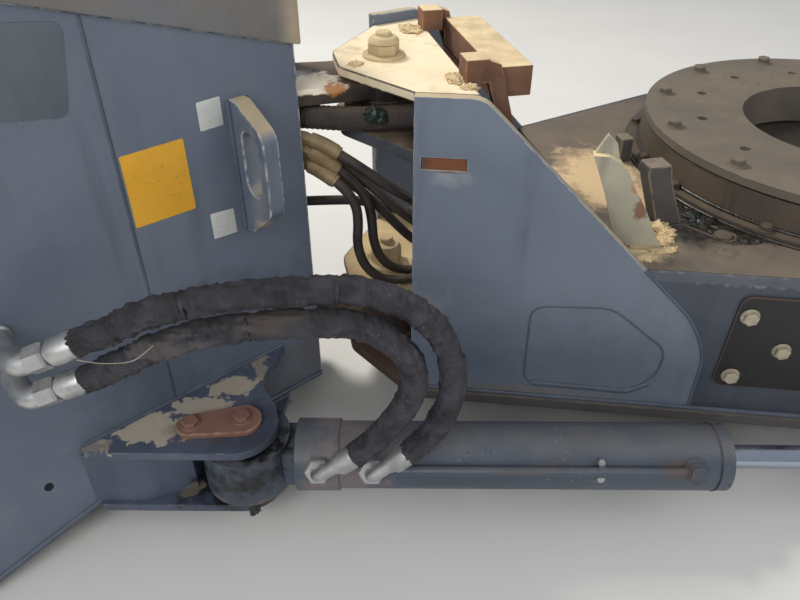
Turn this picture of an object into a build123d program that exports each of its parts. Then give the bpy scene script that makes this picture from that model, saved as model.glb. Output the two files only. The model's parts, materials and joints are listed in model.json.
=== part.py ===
from build123d import *
import math
import os

os.makedirs("parts", exist_ok=True)

# Lengths in millimetres. The shapes are drawn about the pivot axis: X forward, Y left, Z up,
# with zero on the upper yoke plate's top face. They are moved to the row frame when saved,
# whose origin is the middle of the rear bulkhead's rear face.
PIVOT_AHEAD = 620.0
YOKE_TOP_ABOVE = 150.0

# Clearances
FIT = 0.05
AIR = 6.0
TURN_GAP = 2.0

# Rear nose
WALL_ANGLE = 29.2
WALL_FRONT_X = -115.0
WALL_FRONT_Y = -64.4
WALL_THICK = 10.0
BULKHEAD_THICK = 20.0
BULKHEAD_MARGIN = 10.0
BULKHEAD_HALF_HEIGHT = 375.0
BULKHEAD_BOLT_Y = 240.0
BULKHEAD_BOLT_Z = 300.0
BULKHEAD_HOLE_R = 9.0
SEAM_FRONT_Z = 42.0
SEAM_SLOPE = 0.368
NOSE_BOTTOM_Z = -455.0
NOSE_BEND_X = -380.0
NOSE_REAR_BOTTOM_Z = -520.0
NOSE_FLOOR_THICK = 10.0
NOSE_FRONT_THICK = 10.0
FRONT_SHELF = 50.0
COWL_HEIGHT = 130.0
COWL_SHEET = 4.0
COWL_OVERHANG = 5.0
COWL_LIP = 8.0
COWL_CORNER_R = 14.0
STRIP_THICK = 5.0
STRIP_BELOW = 22.0
STRIP_ABOVE = 14.0

# Yoke of the front frame
YOKE_TOP_THICK = 12.0
YOKE_SECOND_TOP = -72.0
YOKE_SECOND_THICK = 16.0
YOKE_THIRD_TOP = -312.0
YOKE_THIRD_THICK = 12.0
FLOOR_TOP = -434.0
FLOOR_THICK = 16.0
FLOOR_LEDGE = 8.0
YOKE_TIP_X = -62.0
YOKE_TIP_HALF = 30.0
YOKE_TIP_R = 28.0
YOKE_FRONT_X = 80.0

# Pivot pins and ears
UPPER_PIN_R = 20.0
LOWER_PIN_R = 22.0
PIN_BELOW = 10.0
UPPER_EAR_THICK = 20.0
UPPER_EAR_TOP = -18.0
LOWER_EAR_THICK = 30.0
EAR_TAPER = 6.0
UPPER_EAR_REAR_X = -300.0
LOWER_EAR_REAR_X = -330.0
BOSS_R = 48.0
STUD_R = 10.0

# Wings and side beams
WING_START_X = 6.0
WING_START_Y = -145.0
WING_ANGLE = -18.7
WING_THICK = 13.0
RIGHT_WING_TOP = 0.0
LEFT_WING_TOP = 14.0
WING_TOP_END = 78.0
WING_TOP_R = 35.0
SLANT_END = 289.0
SLANT_END_Z = -208.0
CURVE_START = 362.0
CURVE_START_Z = -280.0
WING_END = 392.0
CURVE_END_Z = -335.0
WING_CURVE_R = 120.0
TAB_START = 9.0
TAB_END = 63.0
TAB_RECESS = 2.0
BEAM_BEVEL = 9.0
DECK_TOP = -214.0
DECK_THICK = 15.0
DECK_REAR_X = 280.0
CROSS_THICK = 12.0
FRAME_FRONT_X = 1060.0
RAIL_MARGIN = 10.0
RAIL_THICK = 12.0
COVER_THICK = 4.0
COVER_START = 410.0
COVER_SLANT = 4.0
COVER_MARGIN = 8.0
COVER_TOP_Z = -236.0
COVER_LOW_Z = -384.0
COVER_CORNER_R = 14.0

# Slewing ring
RING_X = 730.0
RING_OUTER_R = 302.0
RING_WALL = 46.0
RING_RACE_HEIGHT = 50.0
RING_FLANGE_WIDE = 18.0
RING_FLANGE_THICK = 8.0
TABLE_INSET = 1.0
TABLE_THICK = 12.0
TABLE_BORE_R = 150.0
TABLE_BOLTS = 12
TABLE_BOLT_INSET = 81.0
TABLE_HOLE_R = 7.0
TABLE_HOLE_DEEP = 25.0
TABLE_FIRST_BOLT = 15.0

# Front axle pads
AXLE_X = 900.0
AXLE_HOLE_DX = 110.0
AXLE_HOLE_DY = 460.0
AXLE_HOLE_R = 9.0
AXLE_PAD_THICK = 20.0
AXLE_PAD_EDGE = 30.0
AXLE_PAD_WIDE = 100.0

# Stop plate and lock lugs on the deck
STOP_X = 303.7
STOP_Y = -181.3
STOP_THICK = 16.0
HORN_THICK = 6.0
LOCK_LUG_Y = -124.0
LOCK_LUG_WIDE = 28.0
SMALL_LUG_GAP = 2.0
SMALL_LUG_LONG = 20.0
SMALL_LUG_Y = 70.0
SMALL_LUG_WIDE = 24.0
SMALL_LUG_TALL = 40.0

# Rusty rest bracket on the upper yoke plate
REST_LUG_START = 72.0
REST_LUG_END = 100.0
REST_LUG_OUT = 121.0
REST_LUG_WIDE = 30.0
REST_LUG_TALL = 27.0
REST_BAR_THICK = 14.0
REST_BEAM_START = 108.0
REST_BEAM_WIDE = 50.0
REST_BEAM_TALL = 36.0

# Steering cylinder, measured along its axis from the rear pin
REAR_PIN_X = -230.5
REAR_PIN_Y = -236.5
CYL_Z = -424.0
CYL_ANGLE = -12.5
CYL_PIN_R = 20.0
BARREL_R = 43.0
BARREL_BORE_R = 34.0
BARREL_START = 66.0
BASE_END = 117.0
COLLAR_RISE = 3.0
HEAD_END = 612.0
GLAND_LONG = 30.0
PISTON_AT = 455.0
PISTON_LONG = 30.0
ROD_R = 15.0
EYE_TO_EYE = 895.0
EYE_R = 57.0
NECK_SIZE = 56.0
ROD_EYE_R = 34.0
ROD_EYE_HEIGHT = 40.0
CLEVIS_THICK = 15.0
CLEVIS_R = 40.0
CLEVIS_REAR = 48.0
CLEVIS_FRONT = 110.0
CLEVIS_UNDER = 40.0
CLEVIS_PIN_R = 16.0
CLEVIS_PIN_RISE = 7.0
PORT_1_AT = 96.5
PORT_2_AT = 162.5
HEAD_PORT_AT = 554.0
HEAD_PORT_R = 13.0
PIPE_R = 6.0
PIPE_GAP = 0.3

# Bracket of the steering cylinder
BRACKET_TOP = -368.0
BRACKET_PLATE = 12.0
BRACKET_LOW_TOP = -465.0
BRACKET_OUT = 51.0
BRACKET_LONG = 188.0
BRACKET_WEB = 12.0
WEB_INSET = 6.0
WEB_END = 66.0
WEB_TURN = 128.0
WEB_STEP = 24.0
PIN_TAIL = 8.0
KEEPER_THICK = 8.0
KEEPER_REACH = 63.0
KEEPER_R = 24.0
KEEPER_END_R = 18.0
KEEPER_ANGLE = -2.8

# Lifting eyes on the nose walls
EYE_PLATE_X = -195.0
EYE_PLATE_OUT = 63.0
EYE_PLATE_THICK = 20.0
EYE_PLATE_TALL = 165.0
EYE_LOW_SLOPE = 42.0
EYE_TOP_SLOPE = 26.0
EYE_FOOT = 14.0
EYE_CORNER_R = 22.0
EYE_SLOT_WIDE = 30.0
EYE_SLOT_TALL = 78.0
EYE_SLOT_RISE = 14.0
EYE_SLOT_IN = 18.0

# Hoses and their elbows
ELBOW_R = 13.0
ELBOW_BEND = 18.0
ELBOW_REACH = 62.0
ELBOW_OUT = 60.0
PORT_TILT = 25.0
PORT_KNEE = 68.0
STEER_HOSE_R = 14.0
WALL_LEAD = 32.0
PORT_LEAD = 28.0
JOINT_HOSE_R = 7.0
SLEEVE_R = 15.0

# Places and heights that follow from the sizes above
BULKHEAD_FRONT_X = -PIVOT_AHEAD + BULKHEAD_THICK
FLOOR_LOW = FLOOR_TOP - FLOOR_THICK
DECK_LOW = DECK_TOP - DECK_THICK
RING_BORE_R = RING_OUTER_R - RING_WALL
TABLE_R = RING_OUTER_R - TABLE_INSET
TABLE_LOW = DECK_TOP + RING_RACE_HEIGHT + TURN_GAP
TABLE_TOP = TABLE_LOW + TABLE_THICK
TABLE_PCD = 2 * (TABLE_R - TABLE_BOLT_INSET)
CLEVIS_GAP = ROD_EYE_HEIGHT / 2 + AIR
RAIL_Y = RING_OUTER_R + RAIL_MARGIN
ring_rear_x = RING_X - RING_OUTER_R - RING_FLANGE_WIDE

ROW = Pos(PIVOT_AHEAD, 0, YOKE_TOP_ABOVE)


def save(name, shape):
    export_step(ROW * shape, "parts/" + name + ".step")


def heading(degrees):
    """Plan direction of a heading and the direction to its right."""
    turn = math.radians(degrees)
    return (math.cos(turn), math.sin(turn)), (math.sin(turn), -math.cos(turn))


def slab(points, low, high):
    """Plate of a plan outline between two heights."""
    return extrude(Pos(0, 0, low) * Polygon(*points, align=None), amount=high - low, dir=(0, 0, 1))


def upright(points, start, degrees, thick):
    """Plate of an outline (along, height) standing on a plan line, thickness to the left of it."""
    ahead, right = heading(degrees)
    plane = Plane(origin=(start[0], start[1], 0), x_dir=(*ahead, 0), z_dir=(*right, 0))
    return extrude(plane * Polygon(*points, align=None), amount=thick, dir=plane.z_dir * -1)


def side_profile(points, half):
    """Prism of an outline (X, Z), from Y = -half to +half."""
    face = Plane(origin=(0, half, 0), x_dir=(1, 0, 0), z_dir=(0, -1, 0)) * Polygon(*points, align=None)
    return extrude(face, amount=2 * half, dir=(0, -1, 0))


def rod_between(start, end, radius):
    axis = Vector(*end) - Vector(*start)
    return extrude(Plane(origin=start, z_dir=axis) * Circle(radius), amount=axis.length)


def upright_cylinder(x, y, low, high, radius):
    return Pos(x, y, (low + high) / 2) * Cylinder(radius, high - low)


def block(x_range, y_range, z_range):
    sizes = [high - low for low, high in (x_range, y_range, z_range)]
    middle = [(high + low) / 2 for low, high in (x_range, y_range, z_range)]
    return Pos(*middle) * Box(*sizes)


def beyond(point, aim, reach):
    return tuple(point[k] + aim[k] * reach for k in range(3))


def other_side(shape):
    return mirror(shape, about=Plane.XZ)


def both_sides(half):
    """Closed plan outline from its right half, listed from one end to the other."""
    return half + [(x, -y) for x, y in reversed(half)]


# Rear nose walls
wall_ahead, wall_right = heading(WALL_ANGLE)
wall_slope = wall_ahead[1] / wall_ahead[0]


def wall_y(x, inset=0.0):
    """Y of the right wall's outer face at X, moved inwards by inset."""
    return WALL_FRONT_Y + (x - WALL_FRONT_X) * wall_slope + inset / wall_ahead[0]


def seam_z(x):
    return SEAM_FRONT_Z + (WALL_FRONT_X - x) * SEAM_SLOPE


def wall_along(x):
    return (x - BULKHEAD_FRONT_X) / wall_ahead[0]


wall_length = wall_along(WALL_FRONT_X)
wall_start = (BULKHEAD_FRONT_X, wall_y(BULKHEAD_FRONT_X))
wall_outline = [
    (0, NOSE_REAR_BOTTOM_Z),
    (wall_along(NOSE_BEND_X), NOSE_BOTTOM_Z),
    (wall_length, NOSE_BOTTOM_Z),
    (wall_length, SEAM_FRONT_Z),
    (0, seam_z(BULKHEAD_FRONT_X)),
]
nose_wall = upright(wall_outline, wall_start, WALL_ANGLE, WALL_THICK)
nose_wall -= block(
    (BULKHEAD_FRONT_X - WALL_THICK, BULKHEAD_FRONT_X),
    (-BULKHEAD_HALF_HEIGHT, 0),
    (NOSE_REAR_BOTTOM_Z, seam_z(BULKHEAD_FRONT_X)),
)
save("nose_wall_right", nose_wall)
save("nose_wall_left", other_side(nose_wall))

# Bulkhead that closes the nose behind
bulkhead_half_width = -wall_y(BULKHEAD_FRONT_X) + BULKHEAD_MARGIN
bulkhead_x = (-PIVOT_AHEAD, BULKHEAD_FRONT_X)
bulkhead = block(
    bulkhead_x,
    (-bulkhead_half_width, bulkhead_half_width),
    (-YOKE_TOP_ABOVE - BULKHEAD_HALF_HEIGHT, -YOKE_TOP_ABOVE + BULKHEAD_HALF_HEIGHT),
)
for y in (-BULKHEAD_BOLT_Y, BULKHEAD_BOLT_Y):
    for z in (-BULKHEAD_BOLT_Z, BULKHEAD_BOLT_Z):
        bulkhead -= rod_between(
            (bulkhead_x[0], y, z - YOKE_TOP_ABOVE), (bulkhead_x[1], y, z - YOKE_TOP_ABOVE), BULKHEAD_HOLE_R
        )
save("rear_bulkhead", bulkhead)


def nose_plan(inset, rear_x, front_x):
    """Wedge between the walls, inset from their outer faces."""
    return both_sides([(rear_x, wall_y(rear_x, inset)), (front_x, wall_y(front_x, inset))])


def sloped_band(low, high, rear_x, front_x):
    """Outline (X, Z) of a band along the sloping seam."""
    return [
        (rear_x, seam_z(rear_x) + low),
        (front_x, seam_z(front_x) + low),
        (front_x, seam_z(front_x) + high),
        (rear_x, seam_z(rear_x) + high),
    ]


# Cowl over the nose, following the sloping seam
def cowl_body(inset, low, high, rear_x, front_x):
    plan = slab(nose_plan(inset, rear_x, front_x), NOSE_BOTTOM_Z, seam_z(rear_x) + 2 * COWL_HEIGHT)
    band = sloped_band(low, high, rear_x - COWL_LIP, front_x + COWL_LIP)
    return plan & side_profile(band, 2 * bulkhead_half_width)


cowl_front_x = WALL_FRONT_X + COWL_LIP
cowl = cowl_body(-COWL_OVERHANG, 0, COWL_HEIGHT, BULKHEAD_FRONT_X, cowl_front_x)
cowl = fillet(cowl.edges().filter_by(Axis.Z).sort_by(Axis.X)[-2:], COWL_CORNER_R)
cowl -= cowl_body(
    COWL_SHEET - COWL_OVERHANG,
    -COWL_LIP,
    COWL_HEIGHT - COWL_SHEET,
    BULKHEAD_FRONT_X - COWL_LIP,
    cowl_front_x - COWL_SHEET,
)
save("nose_cowl", cowl)

# Seat strips that carry the cowl inside the walls
strip = slab(
    [
        (BULKHEAD_FRONT_X, wall_y(BULKHEAD_FRONT_X, WALL_THICK)),
        (WALL_FRONT_X - NOSE_FRONT_THICK, wall_y(WALL_FRONT_X - NOSE_FRONT_THICK, WALL_THICK)),
        (WALL_FRONT_X - NOSE_FRONT_THICK, wall_y(WALL_FRONT_X - NOSE_FRONT_THICK, WALL_THICK + STRIP_THICK)),
        (BULKHEAD_FRONT_X, wall_y(BULKHEAD_FRONT_X, WALL_THICK + STRIP_THICK)),
    ],
    NOSE_BOTTOM_Z,
    seam_z(BULKHEAD_FRONT_X) + COWL_HEIGHT,
)
strip &= side_profile(
    sloped_band(-STRIP_BELOW, STRIP_ABOVE, BULKHEAD_FRONT_X, WALL_FRONT_X), bulkhead_half_width
)
save("cowl_strips", Compound([strip, other_side(strip)]))

# Floor of the nose
nose_front_x = WALL_FRONT_X - NOSE_FRONT_THICK
floor_plan = slab(
    nose_plan(WALL_THICK, BULKHEAD_FRONT_X, nose_front_x), NOSE_REAR_BOTTOM_Z - FLOOR_THICK, SEAM_FRONT_Z
)
floor_line = [(BULKHEAD_FRONT_X, NOSE_REAR_BOTTOM_Z), (NOSE_BEND_X, NOSE_BOTTOM_Z), (0, NOSE_BOTTOM_Z)]
floor_band = floor_line + [(x, z + NOSE_FLOOR_THICK) for x, z in reversed(floor_line)]
save("nose_floor", floor_plan & side_profile(floor_band, bulkhead_half_width))

# Upper and lower ears of the rear frame
upper_boss = (YOKE_SECOND_TOP + TURN_GAP, -YOKE_TOP_THICK - TURN_GAP)
lower_boss = (FLOOR_TOP + TURN_GAP, YOKE_THIRD_TOP - YOKE_THIRD_THICK - TURN_GAP)
upper_ear_low = UPPER_EAR_TOP - UPPER_EAR_THICK
lower_ear_low = (lower_boss[0] + lower_boss[1] - LOWER_EAR_THICK) / 2
lower_ear_top = lower_ear_low + LOWER_EAR_THICK


def ear(boss, pin_r, rear_x, low, high):
    arm = [
        (rear_x, wall_y(rear_x, WALL_THICK)),
        (WALL_FRONT_X, wall_y(WALL_FRONT_X, WALL_THICK)),
        (0, -BOSS_R + EAR_TAPER),
    ]
    shape = slab(both_sides(arm), low, high)
    shape += upright_cylinder(0, 0, boss[0], boss[1], BOSS_R)
    return shape - upright_cylinder(0, 0, boss[0], boss[1], pin_r + FIT)


save("upper_ear", ear(upper_boss, UPPER_PIN_R, UPPER_EAR_REAR_X, upper_ear_low, UPPER_EAR_TOP))
save("lower_ear", ear(lower_boss, LOWER_PIN_R, LOWER_EAR_REAR_X, lower_ear_low, lower_ear_top))

# Front plates of the nose, above and below the ears, open between them for the hoses
front_ranges = [
    (UPPER_EAR_TOP, SEAM_FRONT_Z),
    (lower_ear_top, lower_ear_top + FRONT_SHELF),
    (NOSE_BOTTOM_Z, lower_ear_low),
]
front_plan = nose_plan(WALL_THICK, nose_front_x, WALL_FRONT_X)
save("nose_front_plates", Compound([slab(front_plan, low, high) for low, high in front_ranges]))

# Frame of the steering cylinder, from its rear pin
cyl_along, cyl_outward = heading(CYL_ANGLE)


def on_cylinder(distance, out=0.0, up=0.0):
    """Point along the cylinder from its rear pin, moved outboard and up from the axis."""
    return (
        REAR_PIN_X + cyl_along[0] * distance + cyl_outward[0] * out,
        REAR_PIN_Y + cyl_along[1] * distance + cyl_outward[1] * out,
        CYL_Z + up,
    )


def along_cylinder(start, end, radius, out=0.0, up=0.0):
    return rod_between(on_cylinder(start, out, up), on_cylinder(end, out, up), radius)


def wall_out(distance):
    """How far outboard of the cylinder's axis the wall's outer face lies, at a distance."""
    gap = (REAR_PIN_Y + cyl_along[1] * distance) - wall_y(REAR_PIN_X + cyl_along[0] * distance)
    return gap / (cyl_outward[0] * wall_slope - cyl_outward[1])


# Bracket of the steering cylinder on the right wall: its front edge as (along, outboard) points,
# round at the outer corner, then hollow towards the horn that runs up the wall
BRACKET_CORNER = [(-2, BRACKET_OUT), (33, 32), (44, -4)]
BRACKET_SIDE = [(44, -4), (36, -32), (21, -56)]
BRACKET_HOLLOW = [(21, -56), (12, -84), (25, -117)]
BRACKET_HORN_END = 30


def bracket_plate(low):
    corner, side, hollow = [
        [on_cylinder(distance, out)[:2] for distance, out in points]
        for points in (BRACKET_CORNER, BRACKET_SIDE, BRACKET_HOLLOW)
    ]
    tip = on_cylinder(-BRACKET_LONG, wall_out(-BRACKET_LONG))[:2]
    rear = on_cylinder(-BRACKET_LONG + 6, BRACKET_OUT)[:2]
    horn = on_cylinder(BRACKET_HORN_END, wall_out(BRACKET_HORN_END))[:2]
    outline = Polyline(tip, rear, corner[0])
    outline += ThreePointArc(*corner)
    outline += Polyline(*side)
    outline += ThreePointArc(*hollow)
    outline += Polyline(hollow[-1], horn, tip)
    shape = extrude(Pos(0, 0, low) * make_face(outline), amount=BRACKET_PLATE, dir=(0, 0, 1))
    return shape - upright_cylinder(REAR_PIN_X, REAR_PIN_Y, low, low + BRACKET_PLATE, CYL_PIN_R)


bracket_upper_low = BRACKET_TOP - BRACKET_PLATE
save("bracket_upper_plate", bracket_plate(bracket_upper_low))
save("bracket_lower_plate", bracket_plate(BRACKET_LOW_TOP - BRACKET_PLATE))

web_out = BRACKET_OUT - WEB_INSET
wall_reach = wall_out(0) - wall_out(1)
outer_meet = [-(web_out - BRACKET_WEB * k - wall_out(0)) / wall_reach for k in (1, 0)]
web_points = [
    (-WEB_TURN, web_out),
    (-WEB_END, web_out - WEB_STEP),
    (-WEB_END, wall_out(-WEB_END)),
    (-WEB_END - BRACKET_WEB, wall_out(-WEB_END - BRACKET_WEB)),
    (-WEB_END - BRACKET_WEB, web_out - WEB_STEP - BRACKET_WEB),
    (-WEB_TURN, web_out - BRACKET_WEB),
    (outer_meet[0], web_out - BRACKET_WEB),
    (outer_meet[1], web_out),
]
web = slab([on_cylinder(*point)[:2] for point in web_points], BRACKET_LOW_TOP, bracket_upper_low)
save("bracket_web", web)

# Pin of the cylinder with its keeper plate
pin_low = BRACKET_LOW_TOP - BRACKET_PLATE - PIN_TAIL
save("cylinder_pin", upright_cylinder(REAR_PIN_X, REAR_PIN_Y, pin_low, BRACKET_TOP, CYL_PIN_R))
flank = math.acos((KEEPER_R - KEEPER_END_R) / KEEPER_REACH)
flank_aim = (math.cos(flank), math.sin(flank))
wide, narrow = [
    [(middle + flank_aim[0] * radius, side * flank_aim[1] * radius) for side in (1, -1)]
    for middle, radius in ((0, KEEPER_R), (-KEEPER_REACH, KEEPER_END_R))
]
keeper_edge = Line(narrow[0], wide[0]) + ThreePointArc(wide[0], (KEEPER_R, 0), wide[1])
keeper_edge += Line(wide[1], narrow[1])
keeper_edge += ThreePointArc(narrow[1], (-KEEPER_REACH - KEEPER_END_R, 0), narrow[0])
keeper = extrude(make_face(keeper_edge), amount=KEEPER_THICK, dir=(0, 0, 1))
save("pin_keeper", Pos(REAR_PIN_X, REAR_PIN_Y, BRACKET_TOP) * Rot(0, 0, KEEPER_ANGLE) * keeper)

# Lifting eyes on the nose walls, each a plate with a tall slot
eye_outline = [
    (0, -EYE_PLATE_TALL),
    (EYE_FOOT, -EYE_PLATE_TALL),
    (EYE_PLATE_OUT, -EYE_PLATE_TALL + EYE_LOW_SLOPE),
    (EYE_PLATE_OUT, -EYE_TOP_SLOPE),
    (EYE_FOOT, 0),
    (0, 0),
]
slot_low = EYE_SLOT_RISE - (EYE_PLATE_TALL + EYE_SLOT_TALL) / 2
slot_outline = [
    (EYE_SLOT_IN, slot_low),
    (EYE_SLOT_IN + EYE_SLOT_WIDE, slot_low),
    (EYE_SLOT_IN + EYE_SLOT_WIDE, slot_low + EYE_SLOT_TALL),
    (EYE_SLOT_IN, slot_low + EYE_SLOT_TALL),
]
lifting_eye = upright(eye_outline, (0, 0), 0, EYE_PLATE_THICK)
lifting_eye = fillet(lifting_eye.edges().filter_by(Axis.Y).sort_by(Axis.X)[-2:], EYE_CORNER_R)
eye_slot = upright(slot_outline, (0, 0), 0, EYE_PLATE_THICK)
lifting_eye -= fillet(eye_slot.edges().filter_by(Axis.Y), EYE_SLOT_WIDE / 2 - 0.5)
lifting_eye = Pos(EYE_PLATE_X, wall_y(EYE_PLATE_X), 0) * Rot(0, 0, WALL_ANGLE - 90) * lifting_eye
save("lifting_eye_right", lifting_eye)
save("lifting_eye_left", other_side(lifting_eye))


# Elbows of the steering hoses on the right wall
def elbow(foot, knee, aim):
    """Bent pipe from its foot over the knee, out along the aim, with the end it reaches."""
    end = beyond(knee, aim, ELBOW_REACH)
    path = FilletPolyline(Vector(*foot), Vector(*knee), Vector(*end), radius=ELBOW_BEND)
    return sweep(Plane(origin=path @ 0, z_dir=path % 0) * Circle(ELBOW_R), path=path), end


WALL_ELBOWS = [
    {"x": -455.0, "z": -176.0, "aim": (0.947, -0.040, 0.319)},
    {"x": -457.0, "z": -219.0, "aim": (0.955, -0.035, 0.294)},
]
wall_elbows = []
wall_ends = []
for place in WALL_ELBOWS:
    foot = (place["x"], wall_y(place["x"]), place["z"])
    knee = beyond(foot, (*wall_right, 0), ELBOW_OUT)
    shape, end = elbow(foot, knee, place["aim"])
    wall_elbows.append(shape)
    wall_ends.append((end, place["aim"]))
save("wall_elbows", Compound(wall_elbows))

# Wings of the front frame
wing_ahead, wing_right = heading(WING_ANGLE)
wing_slope = wing_ahead[1] / wing_ahead[0]
wing_start = (WING_START_X, WING_START_Y)
wing_inner_x = WING_START_X - wing_right[0] * WING_THICK


def wing_y(x, out=0.0):
    """Y of the right wing's outer face at X, moved outwards by out."""
    return WING_START_Y + (x - WING_START_X) * wing_slope - out / wing_ahead[0]


def wing_inner(x):
    return (x, wing_y(x, -WING_THICK))


# The beams end where the deck between them is as wide as the ring's flange
flange_half = RING_OUTER_R + RING_FLANGE_WIDE
step_x = WING_START_X + (flange_half + wing_y(WING_START_X, -WING_THICK)) / -wing_slope
beam_end_x = step_x + CROSS_THICK
beam_end = (beam_end_x - WING_START_X) / wing_ahead[0]

slant_slope = (CURVE_START_Z - SLANT_END_Z) / (CURVE_START - SLANT_END)
deck_along = SLANT_END + (DECK_TOP - SLANT_END_Z) / slant_slope
tab_outline = [
    (TAB_START, YOKE_SECOND_TOP - YOKE_SECOND_THICK),
    (TAB_END, YOKE_SECOND_TOP - YOKE_SECOND_THICK),
    (TAB_END, YOKE_SECOND_TOP),
    (TAB_START, YOKE_SECOND_TOP),
]


def round_front(shape):
    """Rounds the curved edge where the wing meets the beam, the same on both."""
    ends = [edge for edge in shape.edges() if abs(edge.length - WING_THICK) < 0.01]
    turns = [
        edge for edge in ends if min(abs(edge.center().Z - z) for z in (CURVE_START_Z, CURVE_END_Z)) < 0.01
    ]
    return fillet(turns, WING_CURVE_R)


def wing(top):
    """Wing plate with its rounded front top corner and the slot for the yoke plate's tab."""
    outline = [
        (0, FLOOR_TOP),
        (0, top),
        (WING_TOP_END, top),
        (SLANT_END, SLANT_END_Z),
        (CURVE_START, CURVE_START_Z),
        (WING_END, CURVE_END_Z),
        (WING_END, FLOOR_TOP),
    ]
    shape = upright(outline, wing_start, WING_ANGLE, WING_THICK)
    ends = [edge for edge in shape.edges() if abs(edge.length - WING_THICK) < 0.01]
    top_ends = [edge for edge in ends if abs(edge.center().Z - top) < 0.01]
    shape = fillet(sorted(top_ends, key=lambda edge: edge.center().X)[-1], WING_TOP_R)
    return round_front(shape) - upright(tab_outline, wing_start, WING_ANGLE, WING_THICK)


save("wing_right", wing(RIGHT_WING_TOP))
save("wing_left", other_side(wing(LEFT_WING_TOP)))

# Side beams continue the wings below the deck, bevelled along their top outer edge
beam_outline = [
    (deck_along, DECK_TOP),
    (CURVE_START, CURVE_START_Z),
    (WING_END, CURVE_END_Z),
    (WING_END, FLOOR_TOP),
    (beam_end, FLOOR_TOP),
    (beam_end, DECK_TOP),
]
beam = round_front(upright(beam_outline, wing_start, WING_ANGLE, WING_THICK))
top_edges = [edge for edge in beam.edges() if abs(edge.center().Z - DECK_TOP) < 0.01]
outer_edge = sorted(
    [edge for edge in top_edges if edge.length > WING_THICK * 2], key=lambda edge: edge.center().Y
)[0]
beam = chamfer(outer_edge, BEAM_BEVEL)
save("side_beam_right", beam)
save("side_beam_left", other_side(beam))


def yoke_plate(top, thick, front_x, pin_r):
    """Plate between the wings, with its rounded tip to the rear and the pin's bore."""
    half = [(YOKE_TIP_X, -YOKE_TIP_HALF), wing_inner(wing_inner_x), wing_inner(front_x)]
    shape = slab(both_sides(half), top - thick, top)
    shape = fillet(shape.edges().filter_by(Axis.Z).sort_by(Axis.X)[:2], YOKE_TIP_R)
    return shape - upright_cylinder(0, 0, top - thick, top, pin_r)


save("yoke_plate_top", yoke_plate(0, YOKE_TOP_THICK, YOKE_FRONT_X, UPPER_PIN_R))
tab_in = -TAB_RECESS
tab_start = (wing_start[0] + wing_right[0] * tab_in, wing_start[1] + wing_right[1] * tab_in)
tab = upright(tab_outline, tab_start, WING_ANGLE, WING_THICK - TAB_RECESS)
second = yoke_plate(YOKE_SECOND_TOP, YOKE_SECOND_THICK, YOKE_FRONT_X, UPPER_PIN_R)
save("yoke_plate_second", second + tab + other_side(tab))
save("yoke_plate_third", yoke_plate(YOKE_THIRD_TOP, YOKE_THIRD_THICK, DECK_REAR_X, LOWER_PIN_R))

# Floor plate below the wings, beams and rails, with a ledge outside them
floor_half = [
    (YOKE_TIP_X, -YOKE_TIP_HALF),
    (WING_START_X, wing_y(WING_START_X, FLOOR_LEDGE)),
    (beam_end_x, wing_y(beam_end_x, FLOOR_LEDGE)),
    (beam_end_x, -RAIL_Y - FLOOR_LEDGE),
    (FRAME_FRONT_X, -RAIL_Y - FLOOR_LEDGE),
]
frame_floor = slab(both_sides(floor_half), FLOOR_LOW, FLOOR_TOP)
frame_floor = fillet(frame_floor.edges().filter_by(Axis.Z).sort_by(Axis.X)[:2], YOKE_TIP_R)
frame_floor -= upright_cylinder(0, 0, FLOOR_LOW, FLOOR_TOP, LOWER_PIN_R)
save("frame_floor", frame_floor)

# Deck plate, and the cross plate below its rear edge
deck_half = [
    wing_inner(DECK_REAR_X),
    wing_inner(step_x),
    (step_x, -RAIL_Y + RAIL_THICK),
    (FRAME_FRONT_X, -RAIL_Y + RAIL_THICK),
]
save("deck_plate", slab(both_sides(deck_half), DECK_LOW, DECK_TOP))
cross_half = [wing_inner(DECK_REAR_X), wing_inner(DECK_REAR_X + CROSS_THICK)]
save("cross_plate", slab(both_sides(cross_half), FLOOR_TOP, DECK_LOW))

# Rails, the plates that step in to them, and the end plate
rail = block((step_x, FRAME_FRONT_X), (-RAIL_Y, -RAIL_Y + RAIL_THICK), (FLOOR_TOP, DECK_TOP))
save("rail_right", rail)
save("rail_left", other_side(rail))
step_plate = slab(
    [(step_x, -RAIL_Y), wing_inner(step_x), wing_inner(beam_end_x), (beam_end_x, -RAIL_Y)],
    FLOOR_TOP,
    DECK_TOP,
)
save("step_plates", Compound([step_plate, other_side(step_plate)]))
rail_inner = RAIL_Y - RAIL_THICK
front_end = block((FRAME_FRONT_X - CROSS_THICK, FRAME_FRONT_X), (-rail_inner, rail_inner), (FLOOR_TOP, DECK_LOW))
save("front_end_plate", front_end)

# Black covers bolted on the beams
cover_outline = [
    (COVER_START, COVER_LOW_Z),
    (beam_end - COVER_MARGIN, COVER_LOW_Z),
    (beam_end - COVER_MARGIN, COVER_TOP_Z),
    (COVER_START + COVER_SLANT, COVER_TOP_Z),
]
cover_foot = beyond((*wing_start, 0), (*wing_right, 0), COVER_THICK)
cover = upright(cover_outline, cover_foot, WING_ANGLE, COVER_THICK)
cover_rear = [edge for edge in cover.edges() if abs(edge.length - COVER_THICK) < 0.01]
cover_rear = sorted(cover_rear, key=lambda edge: edge.center().X)[:2]
cover = fillet(cover_rear, COVER_CORNER_R)
save("side_cover_right", cover)
save("side_cover_left", other_side(cover))

# Pivot pins with their nuts
save(
    "upper_pivot_pin",
    upright_cylinder(0, 0, YOKE_SECOND_TOP - YOKE_SECOND_THICK - PIN_BELOW, 0, UPPER_PIN_R),
)
save("lower_pivot_pin", upright_cylinder(0, 0, FLOOR_LOW - PIN_BELOW, YOKE_THIRD_TOP, LOWER_PIN_R))

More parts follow.
